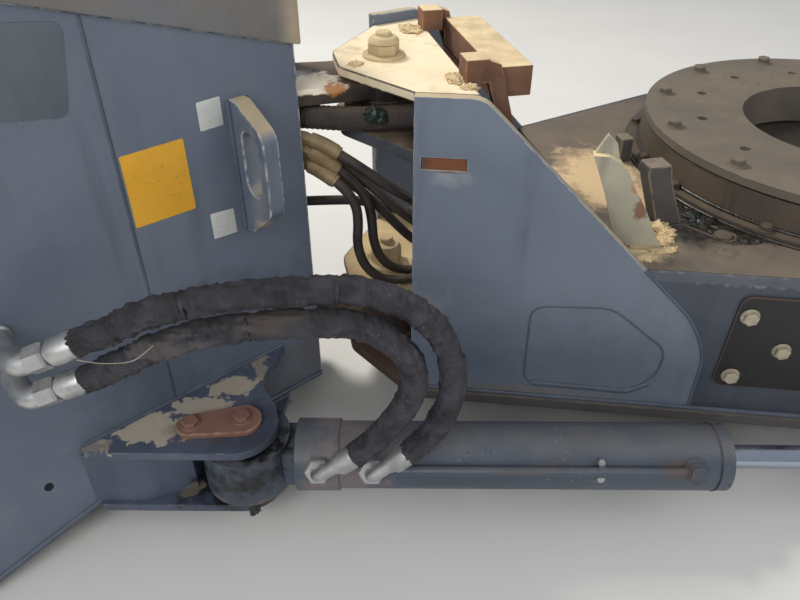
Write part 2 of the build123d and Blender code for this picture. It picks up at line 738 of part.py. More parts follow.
NUTS = [
    {
        "name": "upper_pivot_nut",
        "base": 0.0,
        "washer_r": 27.0,
        "washer": 4.0,
        "across_flats": 35.0,
        "height": 22.0,
        "stud": 4.5,
    },
    {
        "name": "lower_pivot_nut",
        "base": YOKE_THIRD_TOP,
        "washer_r": 26.5,
        "washer": 5.0,
        "across_flats": 40.0,
        "height": 33.0,
        "stud": 8.0,
    },
]
for nut in NUTS:
    nut_low = nut["base"] + nut["washer"]
    nut_high = nut_low + nut["height"]
    shape = upright_cylinder(0, 0, nut["base"], nut_low, nut["washer_r"])
    hexagon = Pos(0, 0, nut_low) * RegularPolygon(nut["across_flats"] / 2, 6, major_radius=False)
    shape += extrude(hexagon, amount=nut["height"])
    save(nut["name"], shape + upright_cylinder(0, 0, nut_low, nut_high + nut["stud"], STUD_R))

# Slewing ring and turntable
race = upright_cylinder(RING_X, 0, DECK_TOP, DECK_TOP + RING_RACE_HEIGHT, RING_OUTER_R)
race += upright_cylinder(RING_X, 0, DECK_TOP, DECK_TOP + RING_FLANGE_THICK, RING_OUTER_R + RING_FLANGE_WIDE)
race -= upright_cylinder(RING_X, 0, DECK_TOP, DECK_TOP + RING_RACE_HEIGHT, RING_BORE_R)
save("slew_ring_outer", race)
table = upright_cylinder(RING_X, 0, TABLE_LOW, TABLE_TOP, TABLE_R)
table += upright_cylinder(RING_X, 0, DECK_TOP + TURN_GAP, TABLE_LOW, RING_BORE_R - FIT)
table -= upright_cylinder(RING_X, 0, DECK_TOP + TURN_GAP, TABLE_TOP, TABLE_BORE_R)
for i in range(TABLE_BOLTS):
    turn = math.radians(TABLE_FIRST_BOLT + 360 / TABLE_BOLTS * i)
    x = RING_X + math.cos(turn) * TABLE_PCD / 2
    y = math.sin(turn) * TABLE_PCD / 2
    table -= upright_cylinder(x, y, TABLE_TOP - TABLE_HOLE_DEEP, TABLE_TOP, TABLE_HOLE_R)
save("turntable", table)

# Axle pads below the floor plate
pads = []
for side in (-1, 1):
    y = side * AXLE_HOLE_DY / 2
    half_long = AXLE_HOLE_DX / 2 + AXLE_PAD_EDGE
    z_range = (FLOOR_LOW - AXLE_PAD_THICK, FLOOR_LOW)
    pad = block(
        (AXLE_X - half_long, AXLE_X + half_long), (y - AXLE_PAD_WIDE / 2, y + AXLE_PAD_WIDE / 2), z_range
    )
    for x in (AXLE_X - AXLE_HOLE_DX / 2, AXLE_X + AXLE_HOLE_DX / 2):
        pad -= upright_cylinder(x, y, *z_range, AXLE_HOLE_R)
    pads.append(pad)
save("axle_pads", Compound(pads))

# Clevis of the rod's eye: one plate on the right rail, one below the floor plate
front_pin = on_cylinder(EYE_TO_EYE)
clevis = []
for low, seat_y, rise in (
    (CYL_Z + CLEVIS_GAP, -RAIL_Y, (0, CLEVIS_PIN_RISE)),
    (FLOOR_LOW - CLEVIS_THICK, -RAIL_Y + CLEVIS_UNDER, (CLEVIS_PIN_RISE, 0)),
):
    outline = [
        (front_pin[0] - CLEVIS_REAR, seat_y),
        (front_pin[0] - CLEVIS_R, front_pin[1]),
        (front_pin[0] + CLEVIS_R, front_pin[1]),
        (front_pin[0] + CLEVIS_FRONT, seat_y),
    ]
    lug = slab(outline, low, low + CLEVIS_THICK)
    lug += upright_cylinder(front_pin[0], front_pin[1], low, low + CLEVIS_THICK, CLEVIS_R)
    lug += upright_cylinder(
        front_pin[0], front_pin[1], low - rise[0], low + CLEVIS_THICK + rise[1], CLEVIS_PIN_R
    )
    clevis.append(lug)
save("rod_clevis", Compound(clevis))

# Stop plate at the deck's rear edge, leaning to the rear, with a thin horn at its top
STOP_OUTLINE = [
    (-15, DECK_TOP),
    (-39, -193),
    (-57, -140),
    (-79, -88),
    (-60, -88),
    (-44, -97),
    (-29, -117),
    (-14, -144),
    (2, -168),
    (18, -200),
    (28, DECK_TOP),
]
HORN_OUTLINE = [(-74, -100), (-77, -90), (-64, -64), (-51, -76), (-46, -94), (-46, -104)]
stop_start = (STOP_X, STOP_Y)
horn_in = STOP_THICK - HORN_THICK
horn_start = (STOP_X - wing_right[0] * horn_in, STOP_Y - wing_right[1] * horn_in)
stop = upright(STOP_OUTLINE, stop_start, WING_ANGLE, STOP_THICK)
stop += upright(HORN_OUTLINE, horn_start, WING_ANGLE, HORN_THICK)
save("stop_plate", stop)

# Lock lugs on the deck behind the ring: a tall one that leans to the rear, and a small block.
# The outline's distances are from the rear edge of the ring's flange.
LOCK_LUG_OUTLINE = [
    (-60, DECK_TOP),
    (-22, DECK_TOP),
    (-52, -146),
    (-58, -122),
    (-88, -122),
    (-90, -132),
]
lock_lug_start = (ring_rear_x, LOCK_LUG_Y - LOCK_LUG_WIDE / 2)
lock_lug = upright(LOCK_LUG_OUTLINE, lock_lug_start, 0, LOCK_LUG_WIDE)
small_lug_end = ring_rear_x - SMALL_LUG_GAP
small_lug = block(
    (small_lug_end - SMALL_LUG_LONG, small_lug_end),
    (SMALL_LUG_Y - SMALL_LUG_WIDE / 2, SMALL_LUG_Y + SMALL_LUG_WIDE / 2),
    (DECK_TOP, DECK_TOP + SMALL_LUG_TALL),
)
save("lock_lugs", Compound([lock_lug, small_lug]))

# Rusty rest bracket at the upper yoke plate's front edge: lugs, slanting bars and a cross beam
BAR_OUTLINE = [(96, REST_LUG_TALL), (114, 20), (136, -56), (120, -62), (100, 0), (96, 0)]
rest = block(
    (REST_BEAM_START, REST_BEAM_START + REST_BEAM_WIDE),
    (-REST_LUG_OUT + REST_BAR_THICK, REST_LUG_OUT - REST_BAR_THICK),
    (-REST_BEAM_TALL + YOKE_TOP_THICK, YOKE_TOP_THICK),
)
for side in (-1, 1):
    outer = side * REST_LUG_OUT
    inner = side * (REST_LUG_OUT - REST_LUG_WIDE)
    rest += block((REST_LUG_START, REST_LUG_END), (min(outer, inner), max(outer, inner)), (0, REST_LUG_TALL))
    bar_right = min(outer, outer - side * REST_BAR_THICK)
    rest += upright(BAR_OUTLINE, (0, bar_right), 0, REST_BAR_THICK)
save("rest_bracket", rest)

# Steering cylinder: barrel with its eye and base block
eye_middle = (bracket_upper_low + BRACKET_LOW_TOP) / 2
eye_half = (bracket_upper_low - BRACKET_LOW_TOP) / 2 - AIR
barrel = along_cylinder(BARREL_START, HEAD_END, BARREL_R)
barrel += along_cylinder(BARREL_START, BASE_END, BARREL_R + COLLAR_RISE)
neck = Pos(*on_cylinder(BARREL_START / 2)) * Rot(0, 0, CYL_ANGLE) * Box(BARREL_START, NECK_SIZE, NECK_SIZE)
barrel += neck
barrel += upright_cylinder(REAR_PIN_X, REAR_PIN_Y, eye_middle - eye_half, eye_middle + eye_half, EYE_R)
barrel -= upright_cylinder(
    REAR_PIN_X, REAR_PIN_Y, eye_middle - eye_half, eye_middle + eye_half, CYL_PIN_R + FIT
)
barrel -= along_cylinder(BASE_END, HEAD_END - GLAND_LONG, BARREL_BORE_R)
barrel -= along_cylinder(HEAD_END - GLAND_LONG, HEAD_END, ROD_R + FIT)
save("cylinder_barrel", barrel)

# Ports, elbows and the pipe, tilted up from the barrel's outboard side
port_out = math.cos(math.radians(PORT_TILT))
port_up = math.sin(math.radians(PORT_TILT))


def off_barrel(distance, radius):
    return on_cylinder(distance, port_out * radius, port_up * radius)


PORTS = [
    {"at": PORT_1_AT, "root": BARREL_R + COLLAR_RISE, "aim": (0.748, -0.180, 0.639)},
    {"at": PORT_2_AT, "root": BARREL_R, "aim": (0.700, -0.140, 0.700)},
]
port_elbows = []
port_ends = []
for port in PORTS:
    shape, end = elbow(off_barrel(port["at"], port["root"] - 6), off_barrel(port["at"], PORT_KNEE), port["aim"])
    shape -= along_cylinder(port["at"] - 2 * ELBOW_R, port["at"] + 2 * ELBOW_R, port["root"])
    port_elbows.append(shape)
    port_ends.append((end, port["aim"]))
save("port_elbows", Compound(port_elbows))
pipe_line = BARREL_R + PIPE_R + PIPE_GAP
pipe = rod_between(
    off_barrel(PORT_2_AT + ELBOW_R + 3, pipe_line), off_barrel(HEAD_PORT_AT, pipe_line), PIPE_R
)
boss_at = HEAD_PORT_AT + HEAD_PORT_R - PIPE_R
pipe += rod_between(
    off_barrel(boss_at, BARREL_R - PIPE_R), off_barrel(boss_at, pipe_line + PIPE_R + 2), HEAD_PORT_R
)
pipe -= along_cylinder(PORT_2_AT, HEAD_END, BARREL_R)
save("cylinder_pipe", pipe)

# Rod with its piston and eye
rod = along_cylinder(PISTON_AT, EYE_TO_EYE - ROD_EYE_R / 2, ROD_R)
rod += along_cylinder(PISTON_AT - PISTON_LONG, PISTON_AT, BARREL_BORE_R - FIT)
rod += upright_cylinder(
    front_pin[0], front_pin[1], CYL_Z - ROD_EYE_HEIGHT / 2, CYL_Z + ROD_EYE_HEIGHT / 2, ROD_EYE_R
)
save("cylinder_rod", rod)


# Hoses: straight runs joined by arcs, each arc as wide as its shorter run allows
def hose(points, radius, name):
    vectors = [Vector(*point) for point in points]
    runs = [end - start for start, end in zip(vectors, vectors[1:])]
    bends = []
    for before, after in zip(runs, runs[1:]):
        half_turn = math.radians(before.get_angle(after)) / 2
        bends.append(0.45 * min(before.length, after.length) / math.tan(half_turn))
    path = FilletPolyline(*vectors, radius=bends)
    tube = sweep(Plane(origin=path @ 0, z_dir=path % 0) * Circle(radius), path=path)
    ratio = tube.volume / (math.pi * radius**2 * path.length)
    print(name, "bends", [round(bend) for bend in bends], "volume ratio", round(ratio, 3))
    return tube


# Steering hoses, from the wall's elbows to the cylinder's ports
STEER_ROUTES = [
    {
        "name": "steering_hose_upper",
        "from": wall_ends[0],
        "to": port_ends[1],
        "points": [
            (-290, -319, -122),
            (-215, -322, -112),
            (-147, -327, -113),
            (-85, -333, -116),
            (-25, -341, -148),
            (7, -345, -210),
            (7, -343, -282),
        ],
    },
    {
        "name": "steering_hose_lower",
        "from": wall_ends[1],
        "to": port_ends[0],
        "points": [
            (-295, -320, -163),
            (-225, -324, -149),
            (-150, -334, -146),
            (-95, -343, -148),
            (-56, -348, -176),
            (-36, -346, -214),
            (-36, -341, -262),
        ],
    },
]
for route in STEER_ROUTES:
    points = [route["from"][0], beyond(*route["from"], WALL_LEAD)]
    points += route["points"]
    points += [beyond(*route["to"], PORT_LEAD), route["to"][0]]
    save(route["name"], hose(points, STEER_HOSE_R, route["name"]))

# Hoses through the joint, from inside the nose to the cross plate
SEAT = DECK_REAR_X
JOINT_ROUTES = [
    {
        "name": "joint_hose_sleeved",
        "radius": SLEEVE_R,
        "points": [
            (-170, -14, -58),
            (-118, -28, -58),
            (-60, -62, -54),
            (-5, -77, -50),
            (62, -90, -46),
            (102, -92, -60),
            (132, -93, -90),
            (150, -94, -129),
            (160, -94, -170),
            (177, -93, -209),
            (208, -92, -238),
            (248, -90, -253),
            (SEAT, -90, -253),
        ],
    },
    {
        "name": "joint_hose_a",
        "radius": JOINT_HOSE_R,
        "points": [
            (-170, -40, -70),
            (-130, -44, -76),
            (-95, -52, -84),
            (-64, -66, -103),
            (-37, -76, -121),
            (-10, -82, -143),
            (25, -84, -166),
            (90, -76, -214),
            (150, -66, -252),
            (205, -60, -277),
            (245, -60, -286),
            (SEAT, -60, -286),
        ],
    },
    {
        "name": "joint_hose_b",
        "radius": JOINT_HOSE_R,
        "points": [
            (-170, -22, -90),
            (-130, -26, -94),
            (-97, -40, -101),
            (-65, -46, -125),
            (-42, -52, -140),
            (-12, -60, -169),
            (28, -60, -211),
            (80, -50, -246),
            (135, -42, -270),
            (190, -36, -283),
            (240, -36, -286),
            (SEAT, -36, -286),
        ],
    },
    {
        "name": "joint_hose_c",
        "radius": JOINT_HOSE_R,
        "points": [
            (-170, -10, -106),
            (-130, -18, -110),
            (-100, -28, -120),
            (-68, -38, -144),
            (-44, -44, -160),
            (-16, -44, -192),
            (10, -42, -226),
            (32, -40, -252),
            (64, -36, -274),
            (110, -26, -285),
            (165, -16, -287),
            (225, -12, -286),
            (SEAT, -12, -286),
        ],
    },
    {
        "name": "joint_hose_d",
        "radius": JOINT_HOSE_R,
        "points": [
            (-170, -32, -104),
            (-130, -34, -109),
            (-98, -56, -119),
            (-70, -76, -137),
            (-54, -81, -162),
            (-52, -80, -192),
            (-55, -78, -225),
            (-46, -76, -262),
            (-24, -72, -289),
            (8, -66, -302),
            (60, -54, -303),
            (140, -26, -303),
            (235, 16, -303),
            (SEAT, 16, -303),
        ],
    },
    {
        "name": "joint_hose_e",
        "radius": JOINT_HOSE_R,
        "points": [
            (-170, -38, -88),
            (-130, -42, -92),
            (-96, -57, -99),
            (-57, -64, -135),
            (-37, -66, -163),
            (-31, -64, -198),
            (-30, -62, -232),
            (-19, -58, -266),
            (2, -52, -290),
            (34, -44, -302),
            (84, -28, -303),
            (150, 4, -303),
            (235, 42, -303),
            (SEAT, 42, -303),
        ],
    },
    {
        "name": "joint_hose_f",
        "radius": JOINT_HOSE_R,
        "points": [
            (-170, -8, -186),
            (-120, -10, -188),
            (-80, -10, -191),
            (-42, -8, -196),
            (-2, -4, -212),
            (42, 0, -233),
            (90, 4, -256),
            (140, 8, -274),
            (190, 12, -284),
            (240, 14, -286),
            (SEAT, 14, -286),
        ],
    },
]
for route in JOINT_ROUTES:
    save(route["name"], hose(route["points"], route["radius"], route["name"]))
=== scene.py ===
import json
import math
import bpy
import bmesh
from mathutils import Matrix, Vector, noise

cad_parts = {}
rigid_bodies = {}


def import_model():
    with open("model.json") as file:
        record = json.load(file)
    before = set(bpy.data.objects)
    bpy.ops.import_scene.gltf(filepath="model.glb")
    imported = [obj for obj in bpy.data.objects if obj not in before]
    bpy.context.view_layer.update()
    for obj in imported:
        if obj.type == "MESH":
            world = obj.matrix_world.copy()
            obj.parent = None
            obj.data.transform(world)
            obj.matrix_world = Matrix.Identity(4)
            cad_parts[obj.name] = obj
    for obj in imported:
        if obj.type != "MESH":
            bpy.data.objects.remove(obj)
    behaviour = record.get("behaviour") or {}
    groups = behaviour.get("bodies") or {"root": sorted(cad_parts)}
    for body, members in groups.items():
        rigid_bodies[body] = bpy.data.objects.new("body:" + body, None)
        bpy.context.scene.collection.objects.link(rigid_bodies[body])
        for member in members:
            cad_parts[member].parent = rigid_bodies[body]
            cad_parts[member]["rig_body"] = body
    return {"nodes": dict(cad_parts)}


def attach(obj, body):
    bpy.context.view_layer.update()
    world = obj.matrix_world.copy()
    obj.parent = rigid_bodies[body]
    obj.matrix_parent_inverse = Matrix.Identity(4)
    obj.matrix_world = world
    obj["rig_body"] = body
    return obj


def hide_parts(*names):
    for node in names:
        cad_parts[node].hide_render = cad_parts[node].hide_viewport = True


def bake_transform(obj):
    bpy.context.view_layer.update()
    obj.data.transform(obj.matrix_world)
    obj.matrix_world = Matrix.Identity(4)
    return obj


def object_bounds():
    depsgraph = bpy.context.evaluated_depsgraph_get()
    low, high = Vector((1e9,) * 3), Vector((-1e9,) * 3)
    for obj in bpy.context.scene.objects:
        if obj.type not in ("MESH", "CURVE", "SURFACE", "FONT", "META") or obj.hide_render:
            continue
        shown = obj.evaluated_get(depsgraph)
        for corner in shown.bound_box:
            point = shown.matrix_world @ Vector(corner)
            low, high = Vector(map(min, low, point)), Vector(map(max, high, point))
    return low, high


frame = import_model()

cad_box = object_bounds()

# Shapes are drawn in millimetres about the pivot axis, as in the part's source: X forward,
# Y left, Z up, zero on the upper yoke plate's top face. TO_ROW takes them to the row frame.
TO_ROW = Matrix.Translation((0.62, 0.0, 0.15)) @ Matrix.Scale(0.001, 4)

WALL_FRONT = Vector((-115.0, -64.4, 0.0))
WALL_ANGLE = 29.2
WING_START = Vector((6.0, -145.0, 0.0))
WING_ANGLE = -18.7
CYLINDER_PIN = Vector((-230.5, -236.5, -424.0))
CYLINDER_ANGLE = -12.5
YOKE_SECOND_TOP = -72.0
YOKE_THIRD_TOP = -312.0
FLOOR_TOP = -434.0
DECK_TOP = -214.0
RING_X = 730.0
RING_OUTER_R = 302.0
RING_FLANGE_R = 320.0
RING_FLANGE_THICK = 8.0
FLANGE_TOP = DECK_TOP + RING_FLANGE_THICK
RING_BOLT_R = (RING_OUTER_R + RING_FLANGE_R) / 2
TABLE_TOP = -150.0
TABLE_BOLT_R = 274.0


def heading(degrees):
    """Directions ahead and out to the right, for a face turned by so many degrees."""
    turn = math.radians(degrees)
    return Vector((math.cos(turn), math.sin(turn), 0)), Vector((math.sin(turn), -math.cos(turn), 0))


WALL_AHEAD, WALL_OUT = heading(WALL_ANGLE)
WING_AHEAD, WING_OUT = heading(WING_ANGLE)
CYL_AHEAD, CYL_OUT = heading(CYLINDER_ANGLE)
UP = Vector((0, 0, 1))


def on_wall(along, z, out=0.0):
    """Point on the right nose wall, measured forward from its front edge."""
    return WALL_FRONT + WALL_AHEAD * along + WALL_OUT * out + UP * z


def on_wing(along, z, out=0.0):
    """Point on the right wing's outer face, measured forward from its rear edge."""
    return WING_START + WING_AHEAD * along + WING_OUT * out + UP * z


def on_cylinder(along, out=0.0, up=0.0):
    return CYLINDER_PIN + CYL_AHEAD * along + CYL_OUT * out + UP * up


# Camera

camera = bpy.data.objects.new("camera", bpy.data.cameras.new("camera"))
bpy.context.scene.collection.objects.link(camera)
camera.location = (0.45033, -0.89682, 0.442)
camera.rotation_euler = (math.radians(53.5), 0, math.radians(-12))
camera.data.sensor_width = 36
camera.data.lens = 32.4
camera.data.clip_start = 0.02
bpy.context.scene.camera = camera


# Shader groups


def tint(red, green, blue):
    """Colour for a shader from red, green and blue counted to 255."""
    parts = [value / 255 for value in (red, green, blue)]
    return tuple(p / 12.92 if p <= 0.04045 else ((p + 0.055) / 1.055) ** 2.4 for p in parts) + (1.0,)


class Wiring:
    """Adds nodes to a shader tree and links their sockets."""

    def __init__(self, tree):
        self.tree = tree

    def node(self, kind, inputs=None, **settings):
        return self.wired("ShaderNode" + kind, inputs, settings)

    def wired(self, kind, inputs, settings):
        made = self.tree.nodes.new(kind)
        for key, value in settings.items():
            setattr(made, key, value)
        for key, value in (inputs or {}).items():
            if isinstance(value, bpy.types.NodeSocket):
                self.tree.links.new(value, made.inputs[key])
            else:
                made.inputs[key].default_value = value
        return made

    def math(self, operation, first, second=0.5, clamp=False):
        return self.node("Math", {0: first, 1: second}, operation=operation, use_clamp=clamp).outputs[0]

    def span(self, value, low, high, start=0.0, end=1.0):
        """Value taken from low..high to start..end, and held there."""
        made = self.node("MapRange", {"Value": value, "From Min": low, "From Max": high})
        made.inputs["To Min"].default_value = start
        made.inputs["To Max"].default_value = end
        return made.outputs["Result"]

    def blend(self, factor, first, second):
        return self.node("Mix", {0: factor, 6: first, 7: second}, data_type="RGBA").outputs[2]

    def cloud(self, scale, detail=4.0, rough=0.55, stretch=None, distortion=0.0):
        where = self.node("TexCoord").outputs["Object"]
        if stretch:
            where = self.node("Mapping", {"Vector": where, "Scale": stretch}).outputs[0]
        wanted = {"Vector": where, "Scale": scale, "Detail": detail, "Roughness": rough}
        made = self.node("TexNoise", {**wanted, "Distortion": distortion})
        return made.outputs["Fac"]


def shader_group(name, inputs, outputs):
    tree = bpy.data.node_groups.new(name, "ShaderNodeTree")
    for label, kind, value in inputs:
        socket = tree.interface.new_socket(label, in_out="INPUT", socket_type="NodeSocket" + kind)
        socket.default_value = value
    for label in outputs:
        tree.interface.new_socket(label, in_out="OUTPUT", socket_type="NodeSocketFloat")
    return Wiring(tree), tree.nodes.new("NodeGroupInput").outputs, tree.nodes.new("NodeGroupOutput").inputs


def make_groups():
    # Soft tone changes of old paint
    w, given, out = shader_group("mottle", [("Scale", "Float", 6.0), ("Contrast", "Float", 1.0)], ["Mask"])
    wide = w.cloud(given["Scale"], 6.0, 0.6, distortion=0.4)
    centred = w.math("MULTIPLY", w.math("SUBTRACT", wide, 0.5), given["Contrast"])
    w.tree.links.new(w.math("ADD", centred, 0.45, clamp=True), out["Mask"])

    # Dust lies on upward faces and in patches elsewhere
    w, given, out = shader_group(
        "dust film", [("Cover", "Float", 0.3), ("Up", "Float", 0.6), ("Scale", "Float", 9.0)], ["Mask"]
    )
    normal = w.node("TexCoord").outputs["Normal"]
    height = w.node("SeparateXYZ", {0: normal}).outputs["Z"]
    lying = w.math("MULTIPLY", w.span(height, 0.25, 0.95), given["Up"])
    amount = w.math("ADD", lying, given["Cover"])
    grain = w.cloud(given["Scale"], 8.0, 0.68)
    mask = w.math("ADD", amount, w.math("MULTIPLY", w.math("SUBTRACT", grain, 0.5), 1.5))
    sure = w.math("MULTIPLY", amount, 1.6, clamp=True)
    w.tree.links.new(w.math("MULTIPLY", mask, sure, clamp=True), out["Mask"])

    # Wear along the bevelled edges, which carry the attribute edge
    w, given, out = shader_group("edge wear", [("Amount", "Float", 0.5), ("Scale", "Float", 60.0)], ["Mask"])
    edge = w.node("Attribute", attribute_name="edge").outputs["Fac"]
    ragged = w.math("ADD", w.cloud(given["Scale"], 4.0, 0.6), w.math("SUBTRACT", given["Amount"], 0.5))
    w.tree.links.new(w.math("MULTIPLY", edge, w.span(ragged, 0.42, 0.55)), out["Mask"])

    # Small chips and dirt specks
    w, given, out = shader_group("specks", [("Scale", "Float", 160.0), ("Share", "Float", 0.3)], ["Mask"])
    where = w.node("TexCoord").outputs["Object"]
    cells = w.node("TexVoronoi", {"Vector": where, "Scale": given["Scale"]})
    small = w.span(cells.outputs["Distance"], 0.22, 0.12)
    chosen = w.span(w.cloud(w.math("MULTIPLY", given["Scale"], 0.12), 3.0), 0.62, 0.55, 1.0, 0.0)
    kept = w.math("MULTIPLY", small, w.math("MULTIPLY", chosen, given["Share"]), clamp=True)
    w.tree.links.new(kept, out["Mask"])

    # Runs of rust or dirt down a standing face
    w, given, out = shader_group("runs", [("Scale", "Float", 30.0), ("Share", "Float", 0.3)], ["Mask"])
    lines = w.cloud(given["Scale"], 3.0, 0.6, stretch=(1.0, 1.0, 0.08))
    patch = w.cloud(4.0, 3.0)
    mask = w.math("MULTIPLY", w.span(lines, 0.52, 0.72), w.span(patch, 0.42, 0.62))
    w.tree.links.new(w.math("MULTIPLY", mask, given["Share"], clamp=True), out["Mask"])

    # One ragged spot about a centre, with its half sizes
    w, given, out = shader_group(
        "spot",
        [
            ("Centre", "Vector", (0, 0, 0)),
            ("Half", "Vector", (0.05, 0.05, 0.05)),
            ("Ragged", "Float", 0.6),
            ("Soft", "Float", 0.5),
            ("Strength", "Float", 1.0),
        ],
        ["Mask"],
    )
    where = w.node("TexCoord").outputs["Object"]
    offset = w.node("VectorMath", {0: where, 1: given["Centre"]}, operation="SUBTRACT").outputs[0]
    scaled = w.node("VectorMath", {0: offset, 1: given["Half"]}, operation="DIVIDE").outputs[0]
    far = w.node("VectorMath", {0: scaled}, operation="LENGTH").outputs["Value"]
    shaken = w.math("MULTIPLY", w.math("SUBTRACT", w.cloud(38.0, 6.0, 0.65), 0.5), given["Ragged"])
    reach = w.math("ADD", far, w.math("MULTIPLY", shaken, 2.2))
    inside = w.math("DIVIDE", w.math("SUBTRACT", 1.0, reach), given["Soft"], clamp=True)
    w.tree.links.new(w.math("MULTIPLY", inside, given["Strength"], clamp=True), out["Mask"])

    # Threads of a woven sleeve along its own map
    w, given, out = shader_group("weave", [("Pitch", "Float", 2600.0)], ["Mask", "Height"])
    split = w.node("SeparateXYZ", {0: w.node("UVMap", uv_map="sleeve").outputs[0]}).outputs
    around = w.math("SINE", w.math("MULTIPLY", split["Y"], 6.2832 * 30))
    along = w.math("SINE", w.math("MULTIPLY", split["X"], given["Pitch"]))
    thread = w.math("MULTIPLY", w.math("MULTIPLY", around, along), 0.5)
    w.tree.links.new(w.math("ADD", thread, 0.5, clamp=True), out["Height"])
    w.tree.links.new(w.span(thread, 0.0, 0.5), out["Mask"])


make_groups()

# Colours

SLATE_PALE = (112, 120, 132)
SLATE_DARK = (62, 69, 80)
DUST = (190, 170, 133)
SAND = (222, 200, 158)
RUST = (120, 74, 48)
RUST_DARK = (84, 56, 44)
OCHRE = (176, 126, 66)
BARE = (138, 132, 122)
GREASE = (30, 27, 24)
PALE_STAIN = (168, 170, 166)
CHIP = (58, 56, 54)
PAINT_GRAIN = 420.0


def spot(centre, half, colour, rough=0.8, ragged=0.6, soft=0.5, strength=1):
    """Layer for a ragged spot about a point given in millimetres."""
    values = {
        "Centre": tuple(TO_ROW @ Vector(centre)),
        "Half": tuple(value / 1000 for value in half),
        "Ragged": ragged,
        "Soft": soft,
        "Strength": strength,
    }
    return ("spot", values, colour, rough, 0)


def layer_maker(group, *labels):
    """Maker of one kind of layer: its colour, its roughness and the values of its group."""

    def made(colour, rough, *values, metal=0):
        return (group, dict(zip(labels, values)), colour, rough, metal)

    return made


mottle = layer_maker("mottle", "Scale", "Contrast")
specks = layer_maker("specks", "Scale", "Share")
runs = layer_maker("runs", "Scale", "Share")
dust = layer_maker("dust film", "Cover", "Up", "Scale")
wear = layer_maker("edge wear", "Amount", "Scale")


def finish(name, base, rough, layers, metal=0.0, bump=0.15, weave=0.0):
    """Material of a base colour under layers, each a mask with its own colour and roughness."""
    material = bpy.data.materials.new(name)
    material.use_nodes = True
    w = Wiring(material.node_tree)
    shader = material.node_tree.nodes["Principled BSDF"]
    shader.inputs["Metallic"].default_value = metal
    fine = w.cloud(PAINT_GRAIN, 5.0, 0.6)
    shade = w.node("HueSaturation", {"Value": w.span(fine, 0.3, 0.7, 0.9, 1.1), "Color": tint(*base)})
    colour, roughness = shade.outputs[0], w.span(fine, 0.3, 0.7, rough - 0.06, rough + 0.06)
    metallic = None
    height = w.math("MULTIPLY", fine, 0.35)
    for group, values, over, over_rough, over_metal in layers:
        made = w.node("Group", node_tree=bpy.data.node_groups[group])
        for label, value in values.items():
            made.inputs[label].default_value = value
        mask = made.outputs["Mask"]
        colour = w.blend(mask, colour, tint(*over))
        roughness = w.node("Mix", {0: mask, 2: roughness, 3: over_rough}, data_type="FLOAT").outputs[0]
        if over_metal != metal:
            before = metal if metallic is None else metallic
            metallic = w.node("Mix", {0: mask, 2: before, 3: over_metal}, data_type="FLOAT").outputs[0]
        height = w.math("ADD", height, w.math("MULTIPLY", mask, 0.3))
    if weave:
        threads = w.node("Group", node_tree=bpy.data.node_groups["weave"])
        threads.inputs["Pitch"].default_value = weave
        height = w.math("ADD", w.math("MULTIPLY", threads.outputs["Height"], 1.2), height)
        colour = w.blend(w.math("MULTIPLY", threads.outputs["Mask"], 0.35), colour, tint(84, 84, 90))
    raised = w.node("Bump", {"Height": height, "Strength": bump, "Distance": 0.002})
    w.tree.links.new(colour, shader.inputs["Base Color"])
    w.tree.links.new(roughness, shader.inputs["Roughness"])
    if metallic is not None:
        w.tree.links.new(metallic, shader.inputs["Metallic"])
    w.tree.links.new(raised.outputs[0], shader.inputs["Normal"])
    return material


PAINT_LAYERS = [
    mottle(SLATE_PALE, 0.5, 5, 1.6),
    runs(SLATE_DARK, 0.55, 26, 0.45),
    specks(SLATE_PALE, 0.7, 190, 0.35),
    specks(SLATE_DARK, 0.7, 120, 0.3),
]
WEAR_LAYERS = [
    dust(DUST, 0.92, 0.02, 0.8, 14),
    wear(PALE_STAIN, 0.45, 0.5, 70),
]
nose_paint = finish("nose paint", (84, 94, 110), 0.42, PAINT_LAYERS + WEAR_LAYERS + [
    spot(on_wall(-82, -82, 30), (16, 34, 90), (140, 139, 138), 0.5, 0.9, 0.9, 0.75),
    spot(on_wall(-78, -150, 30), (14, 30, 26), DUST, 0.9, 1.2, 0.7, 0.6),
    spot(on_wall(-84, -2, 30), (14, 30, 16), DUST, 0.9, 1.2, 0.7, 0.5),
    spot(on_wall(-250, -330), (150, 90, 90), SLATE_DARK, 0.5, 0.9, 0.9, 0.4),
    spot(on_wall(-160, -440), (150, 90, 30), (120, 104, 84), 0.9, 0.9, 0.9, 0.55),
    spot(on_wall(-20, -400), (50, 50, 70), (104, 92, 78), 0.9, 0.9, 0.8, 0.5),
    spot(on_wall(-401, -403), (5.5, 5, 6.5), (16, 17, 20), 0.9, 0.5, 0.05, 1),
    spot(on_wall(-150, -248), (110, 110, 40), (58, 64, 74), 0.4, 1.2, 0.8, 0.5),
])
wing_paint = finish("wing paint", (95, 105, 121), 0.4, PAINT_LAYERS + [
    spot(on_wing(60, -40), (170, 120, 90), (118, 126, 142), 0.45, 0.5, 1, 0.5),
    spot(on_wing(240, -350), (220, 140, 110), (70, 76, 86), 0.45, 0.5, 1, 0.5),
    spot(on_wing(41, -98), (38, 14, 15), PALE_STAIN, 0.8, 0.9, 1, 0.5),
    spot(on_wing(41, -89), (30, 12, 2.5), (112, 70, 56), 0.9, 0.6, 0.8, 0.8),
    spot(on_wing(-2, -292), (60, 60, 40), (158, 150, 132), 0.8, 1, 1, 0.5),
    spot(on_wing(150, -427), (220, 120, 14), (124, 112, 96), 0.9, 0.6, 1, 0.6),
] + WEAR_LAYERS)
